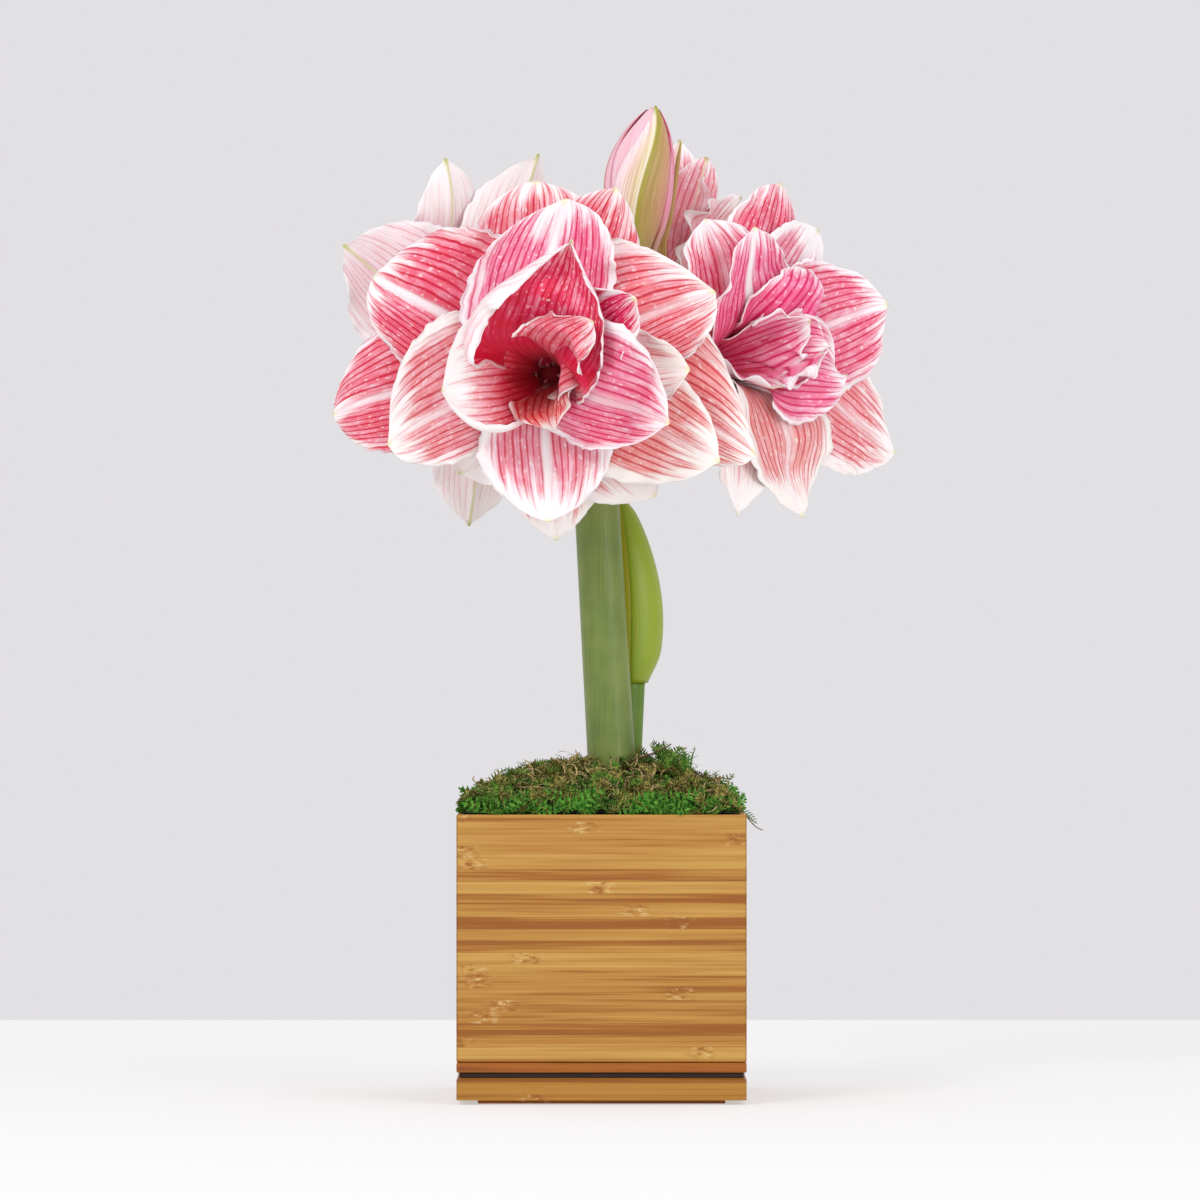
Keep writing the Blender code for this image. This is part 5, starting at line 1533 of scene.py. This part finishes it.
def moss_leaf(name, colours, scale):
    """Dry moss leaves: rough and matt, in patches of two tones with specks of a third."""
    material, tree, shader = new_material(name, {"Roughness": 0.85, "Specular IOR Level": 0.2})
    place = add(tree, "TexCoord", out="Object")
    patches = add(tree, "TexNoise", {"Vector": place, "Scale": scale, "Detail": 2.0})
    specks = add(tree, "TexNoise", {"Vector": place, "Scale": scale * 6, "Detail": 2.0})
    colour = linear(colours[0])
    for noise, low, high, hex_colour in (
        (patches, 0.38, 0.62, colours[1]),
        (specks, 0.40, 0.68, colours[2]),
    ):
        amount = add(tree, "MapRange", {0: noise, 1: low, 2: high, 3: 0.0, 4: 1.0})
        colour = add(tree, "Mix", {0: amount, 6: colour, 7: linear(hex_colour)}, **COLOURS)
    plug(tree, shader, {"Base Color": colour})
    return material


def bamboo(name, light, middle, dark, quarter_turn=False):
    """Satin-varnished laminated bamboo: strips 6 mm high with long fibres and scattered nodes."""
    material, tree, shader = new_material(name, {
        "Roughness": 0.45,
        "Coat Weight": 0.04,
        "Coat Roughness": 0.35,
        "Specular IOR Level": 0.35,
    })
    place = add(tree, "TexCoord", out="Object")
    turn = (0, 0, math.pi / 2 if quarter_turn else 0)
    turned = add(tree, "Mapping", {"Vector": place, "Rotation": turn})
    x, y, z = add(tree, "SeparateXYZ", {0: turned}).node.outputs
    # Glue lines wander a hair's breadth
    sway_at = add(tree, "VectorMath", {0: turned, 1: GLUE_LINE_SWAY}, operation="MULTIPLY")
    sway = add(tree, "TexNoise", {"Vector": sway_at, "Scale": 1.0, "Detail": 1.0})
    level = add(tree, "Math", {0: sway, 1: 0.0014, 2: z}, operation="MULTIPLY_ADD")
    level = add(tree, "Math", {0: level, 1: 1 / STRIP_HEIGHT}, operation="MULTIPLY")
    strip = add(tree, "Math", {0: level}, operation="FLOOR")
    inside = add(tree, "Math", {0: level}, operation="FRACT")
    chosen = add(tree, "TexWhiteNoise", {"W": strip}, noise_dimensions="1D").node.outputs
    strip_tone = chosen["Value"]
    strip_shift = add(tree, "SeparateColor", {0: chosen["Color"]}, out=1)
    # Nodes cross a strip about every 230 mm, each strip shifted by its own amount
    run = add(tree, "Math", {0: x, 1: 1 / STRIP_LENGTH, 2: strip_shift}, operation="MULTIPLY_ADD")
    to_node = add(tree, "Math", {0: run, 1: 0.5}, operation="PINGPONG")
    node_zone = add(tree, "MapRange", {0: to_node, 1: 0.0, 2: 0.052, 3: 1.0, 4: 0.0}, **SMOOTH)
    # Fibres: long fine streaks that wave round each node
    warp_at = add(tree, "VectorMath", {0: turned, 1: NODE_WARP}, operation="MULTIPLY")
    warp = add(tree, "TexNoise", {"Vector": warp_at, "Scale": 1.0, "Detail": 2.0})
    warp = add(tree, "MapRange", {0: warp, 1: 0.0, 2: 1.0, 3: -0.0022, 4: 0.0022})
    warp = add(tree, "Math", {0: warp, 1: node_zone}, operation="MULTIPLY")
    bent_z = add(tree, "Math", {0: z, 1: warp}, operation="ADD")
    bent = add(tree, "CombineXYZ", {0: x, 1: y, 2: bent_z})
    fine_at = add(tree, "VectorMath", {0: bent, 1: FINE_FIBRES}, operation="MULTIPLY")
    fine = add(tree, "TexNoise", {"Vector": fine_at, "Scale": 1.0, "Detail": 3.0})
    broad_at = add(tree, "VectorMath", {0: bent, 1: BROAD_FIBRES}, operation="MULTIPLY")
    broad = add(tree, "TexNoise", {"Vector": broad_at, "Scale": 1.0, "Detail": 2.0})
    streak = add(tree, "Math", {0: fine, 1: 0.5, 2: broad}, operation="MULTIPLY_ADD")
    toned = add(tree, "Math", {0: strip_tone, 1: 0.42, 2: streak}, operation="MULTIPLY_ADD")
    to_dark = add(tree, "MapRange", {0: toned, 1: 0.66, 2: 1.18, 3: 0.0, 4: 1.0})
    darker = add(tree, "MapRange", {0: toned, 1: 1.02, 2: 1.25, 3: 0.0, 4: 0.75})
    # Each node is a cluster of brown specks with pale flecks between them
    speck_at = add(tree, "VectorMath", {0: bent, 1: NODE_SPECKS}, operation="MULTIPLY")
    speck = add(tree, "TexNoise", {"Vector": speck_at, "Scale": 1.0, "Detail": 2.0})
    brown = add(tree, "MapRange", {0: speck, 1: 0.50, 2: 0.66, 3: 0.0, 4: 0.85})
    brown = add(tree, "Math", {0: brown, 1: node_zone}, operation="MULTIPLY")
    pale = add(tree, "MapRange", {0: speck, 1: 0.44, 2: 0.30, 3: 0.0, 4: 0.7})
    pale = add(tree, "Math", {0: pale, 1: node_zone}, operation="MULTIPLY")
    # A thin darker glue line between strips
    to_glue = add(tree, "Math", {0: inside, 1: 0.5}, operation="PINGPONG")
    glue = add(tree, "MapRange", {0: to_glue, 1: 0.0, 2: 0.05, 3: 0.35, 4: 0.0})
    colour = linear(light)
    for amount, hex_colour in (
        (to_dark, middle),
        (darker, dark),
        (brown, "#8c4d17"),
        (pale, "#dcbd84"),
        (glue, dark),
    ):
        colour = add(tree, "Mix", {0: amount, 6: colour, 7: linear(hex_colour)}, **COLOURS)
    bump = add(tree, "Bump", {"Height": fine, "Strength": 0.25, "Distance": 0.00015})
    plug(tree, shader, {"Base Color": colour, "Normal": bump})
    return material


def shadow_wood(name, dark, light):
    """Nearly black matt wood with a faint grain: painted shadow, for the spacer in the shade gap under the
    planter.
    """
    material, tree, shader = new_material(name, {"Roughness": 0.8})
    place = add(tree, "TexCoord", out="Object")
    grain = add(tree, "TexNoise", {"Vector": place, "Scale": WOOD_GRAIN, "Detail": 3.0})
    colour = add(tree, "Mix", {0: grain, 6: linear(dark), 7: linear(light)}, **COLOURS)
    plug(tree, shader, {"Base Color": colour})
    return material


def mottled(name, first, second, scale, roughness):
    """Soil, mat, bulb skin or liner plastic: an uneven surface clouded with two tones."""
    material, tree, shader = new_material(name, {"Roughness": roughness})
    place = add(tree, "TexCoord", out="Object")
    grain = add(tree, "TexNoise", {"Vector": place, "Scale": scale, "Detail": 5.0})
    amount = add(tree, "MapRange", {0: grain, 1: 0.35, 2: 0.65, 3: 0.0, 4: 1.0})
    colour = add(tree, "Mix", {0: amount, 6: linear(first), 7: linear(second)}, **COLOURS)
    bump = add(tree, "Bump", {"Height": grain, "Strength": 0.5, "Distance": 0.001})
    plug(tree, shader, {"Base Color": colour, "Normal": bump})
    return material


# Stage, light and camera


def area_light(name, place, aim, size, power):
    """A white square lamp that shines from its place towards what it is aimed at."""
    light = bpy.data.lights.new(name, "AREA")
    light.shape = "SQUARE"
    light.size = size
    light.energy = power
    lamp = bpy.data.objects.new(name, light)
    lamp.location = place
    lamp.rotation_euler = (Vector(aim) - Vector(place)).to_track_quat("-Z", "Y").to_euler()
    bpy.context.scene.collection.objects.link(lamp)


def build_table():
    """A table of matt white paper up to where the photograph's wall begins.

    It glows a little: painted light that brightens the paper evenly and lightens the shadows cast on it.
    """
    mesh_data = bmesh.new()
    bmesh.ops.create_grid(mesh_data, x_segments=1, y_segments=1, size=TABLE_HALF)
    bmesh.ops.translate(mesh_data, verts=mesh_data.verts[:], vec=(0, WALL_BEHIND - TABLE_HALF, 0))
    material, _, _ = new_material("matt_white_paper", {
        "Roughness": 0.9,
        "Specular IOR Level": 0.0,
        "Base Color": linear("#bcbcbc"),
        "Emission Color": linear("#ffffff"),
        "Emission Strength": TABLE_GLOW,
    })
    table = bpy.data.objects.new("floor", as_mesh(mesh_data, "floor"))
    table.data.materials.append(material)
    bpy.context.scene.collection.objects.link(table)


def build_studio():
    """The wall's grey all round, a key lamp at the left and a fill at the right, and a far camera."""
    world = bpy.data.worlds.new("studio")
    world.use_nodes = True
    background = world.node_tree.nodes["Background"]
    plug(world.node_tree, background, {"Color": linear("#e2e0e3"), "Strength": 1.0})
    bpy.context.scene.world = world
    for name, settings in LAMPS.items():
        area_light(name, *settings)
    camera = bpy.data.cameras.new("camera")
    camera.lens = CAMERA_LENS
    camera.sensor_width = SENSOR_WIDTH
    camera.clip_end = 60.0
    view = bpy.data.objects.new("camera", camera)
    view.location = CAMERA_PLACE
    view.rotation_euler = (math.pi / 2, 0, 0)
    bpy.context.scene.collection.objects.link(view)
    bpy.context.scene.camera = view
    bpy.context.scene.view_settings.view_transform = "Standard"


def dress_hidden_nodes():
    """The pieces that stay hidden in the pot keep their own solids.

    The liner is smooth black plastic, the soil dark and crumbly, and the bulb's skins are dry and papery.
    """
    for node, material in (
        ("liner", mottled("moulded_black_polypropylene", "#141414", "#1c1c1c", LINER_CLOUDS, 0.5)),
        ("soil", mottled("potting_soil", "#1c120a", "#3a2a1a", SOIL_CRUMBS, 0.95)),
        ("bulb", mottled("papery_bulb_skin", "#6b4423", "#9a6b3c", BULB_SKIN_PATCHES, 0.6)),
    ):
        dress_node(node, material)


def build_flowers():
    """Four flowers: their petals first, then the tube, throat and stamens of each."""
    # On the face the throat's near black crimson is partly painted shade of the cup
    face = petal_skin("petal_skin_face", 1.0, 0.95, 1.0, "#fdf3f5", "#7a0d1a", "#e3e2a4", face=True)
    back = petal_skin("petal_skin_back", 0.20, 0.10, 0.30, "#ccd08c", "#d8dcb4", "#b4bc5a", face=False)
    half_open_back = petal_skin(
        "petal_skin_half_open_back", 0.72, 0.45, 0.55, "#e2cfae", "#b9bf7c", "#a9a24a", face=False,
    )
    build_bloom(FRONT_BLOOM, face, back, 1)
    build_bloom(RIGHT_BLOOM, face, back, 31)
    build_bloom(BACK_BLOOM, face, back, 51)
    build_bloom(HALF_OPEN_BLOOM, face, half_open_back, 71)
    tube = plant_skin("flower_tube_skin", "#a9b86c", "#d8d9a6", TUBE_FIBRES)
    deep = plant_skin("throat_crimson_and_shade", "#8a0a12", "#9c1018", STEM_FIBRES, 0.8)
    thread = plant_skin("stamen_thread", "#d2606e", "#ea9aa2", STEM_FIBRES)
    for bloom in BLOOMS:
        build_flower_tube(bloom, tube)
        build_throat(bloom, deep)
        build_stamens(bloom, thread)


def build_buds():
    """The bud at the top, the one on the young stem, and the sepal beside the first."""
    front = bud_front_skin("outer_sepal_skin")
    side = bud_side_skin("bud_petal_skin")
    sheath = spathe_skin("spathe_skin", "#8aa51c", "#a3960f")
    top_scales = [
        Scale(-110, 70, -0.0009, 0.99, blush=0.3, tone=0.0, skin=1),
        Scale(90, 75, -0.0012, 0.97, blush=0.6, tone=0.0, skin=1),
        Scale(20, 60, -0.0004, 0.98, blush=1.0, tone=0.0, skin=1),
        Scale(-196, 54, -0.0004, 0.98, lean=6, blush=0.45, tone=0.0, skin=1),
        Scale(150, 44, 0.0002, 0.98, blush=0.5, tone=1.0, skin=1),
        Scale(-116, 56, 0.0006, 1.0, lean=56, blush=0.6, tone=1.0),
    ]
    valves = [
        Scale(-170, 115, 0.0, 0.99, blush=0.75, square=1.0),
        Scale(0, 96, 0.0007, 1.0, blush=0.15, square=1.0),
    ]
    build_bud("top_bud_petals", BUD_PROFILE, top_scales, [front, side], "bud_top")
    build_bud("spathe_valves", SPATHE_PROFILE, valves, [sheath], "spathe_bud")
    build_folded_sepal(front)


dress_hidden_nodes()
build_planter(
    bamboo("laminated_bamboo_front", *WALL_BAMBOO),
    bamboo("laminated_bamboo_sides", *WALL_BAMBOO, quarter_turn=True),
    bamboo("laminated_bamboo_saucer", "#b17f31", "#9d651c", "#804a13"),
    bamboo("laminated_bamboo_floor_board", "#ac6516", "#94510f", "#763a0a"),
    # The spacer's near black is painted shadow: the shade in the gap under the planter
    shadow_wood("near_black_shadow_wood", "#100804", "#2a160a"),
)
build_flowers()
build_buds()
build_main_stem(plant_skin("flower_stem_skin", "#5b7026", "#7f8f42", STEM_FIBRES))
build_young_stem(plant_skin("young_stem_skin", "#4c6c04", "#6a8e10", STEM_FIBRES))
# A dark felted mat, near black partly as painted shade among the sprigs, sprigs from fresh to olive green,
# and straw-coloured strands
build_moss(
    mottled("moss_mat_and_shade", "#0c1107", "#1f220f", MAT_GRAIN, 0.95),
    moss_leaf("green_moss", ("#1c3812", "#38641c", "#78a03c"), SPRIG_PATCHES),
    moss_leaf("olive_moss", ("#37340f", "#69642a", "#b0a258"), SPRIG_PATCHES),
    moss_leaf("bright_green_moss", ("#1d5212", "#31781e", "#6ea63e"), RIM_SPRIG_PATCHES),
    moss_leaf("dry_moss_strand", ("#4c4020", "#8a7444", "#cdb484"), STRAND_PATCHES),
    plant_skin("brown_twig_bark", "#4e3220", "#7a5434", STEM_FIBRES, 0.7),
)
build_table()
build_studio()
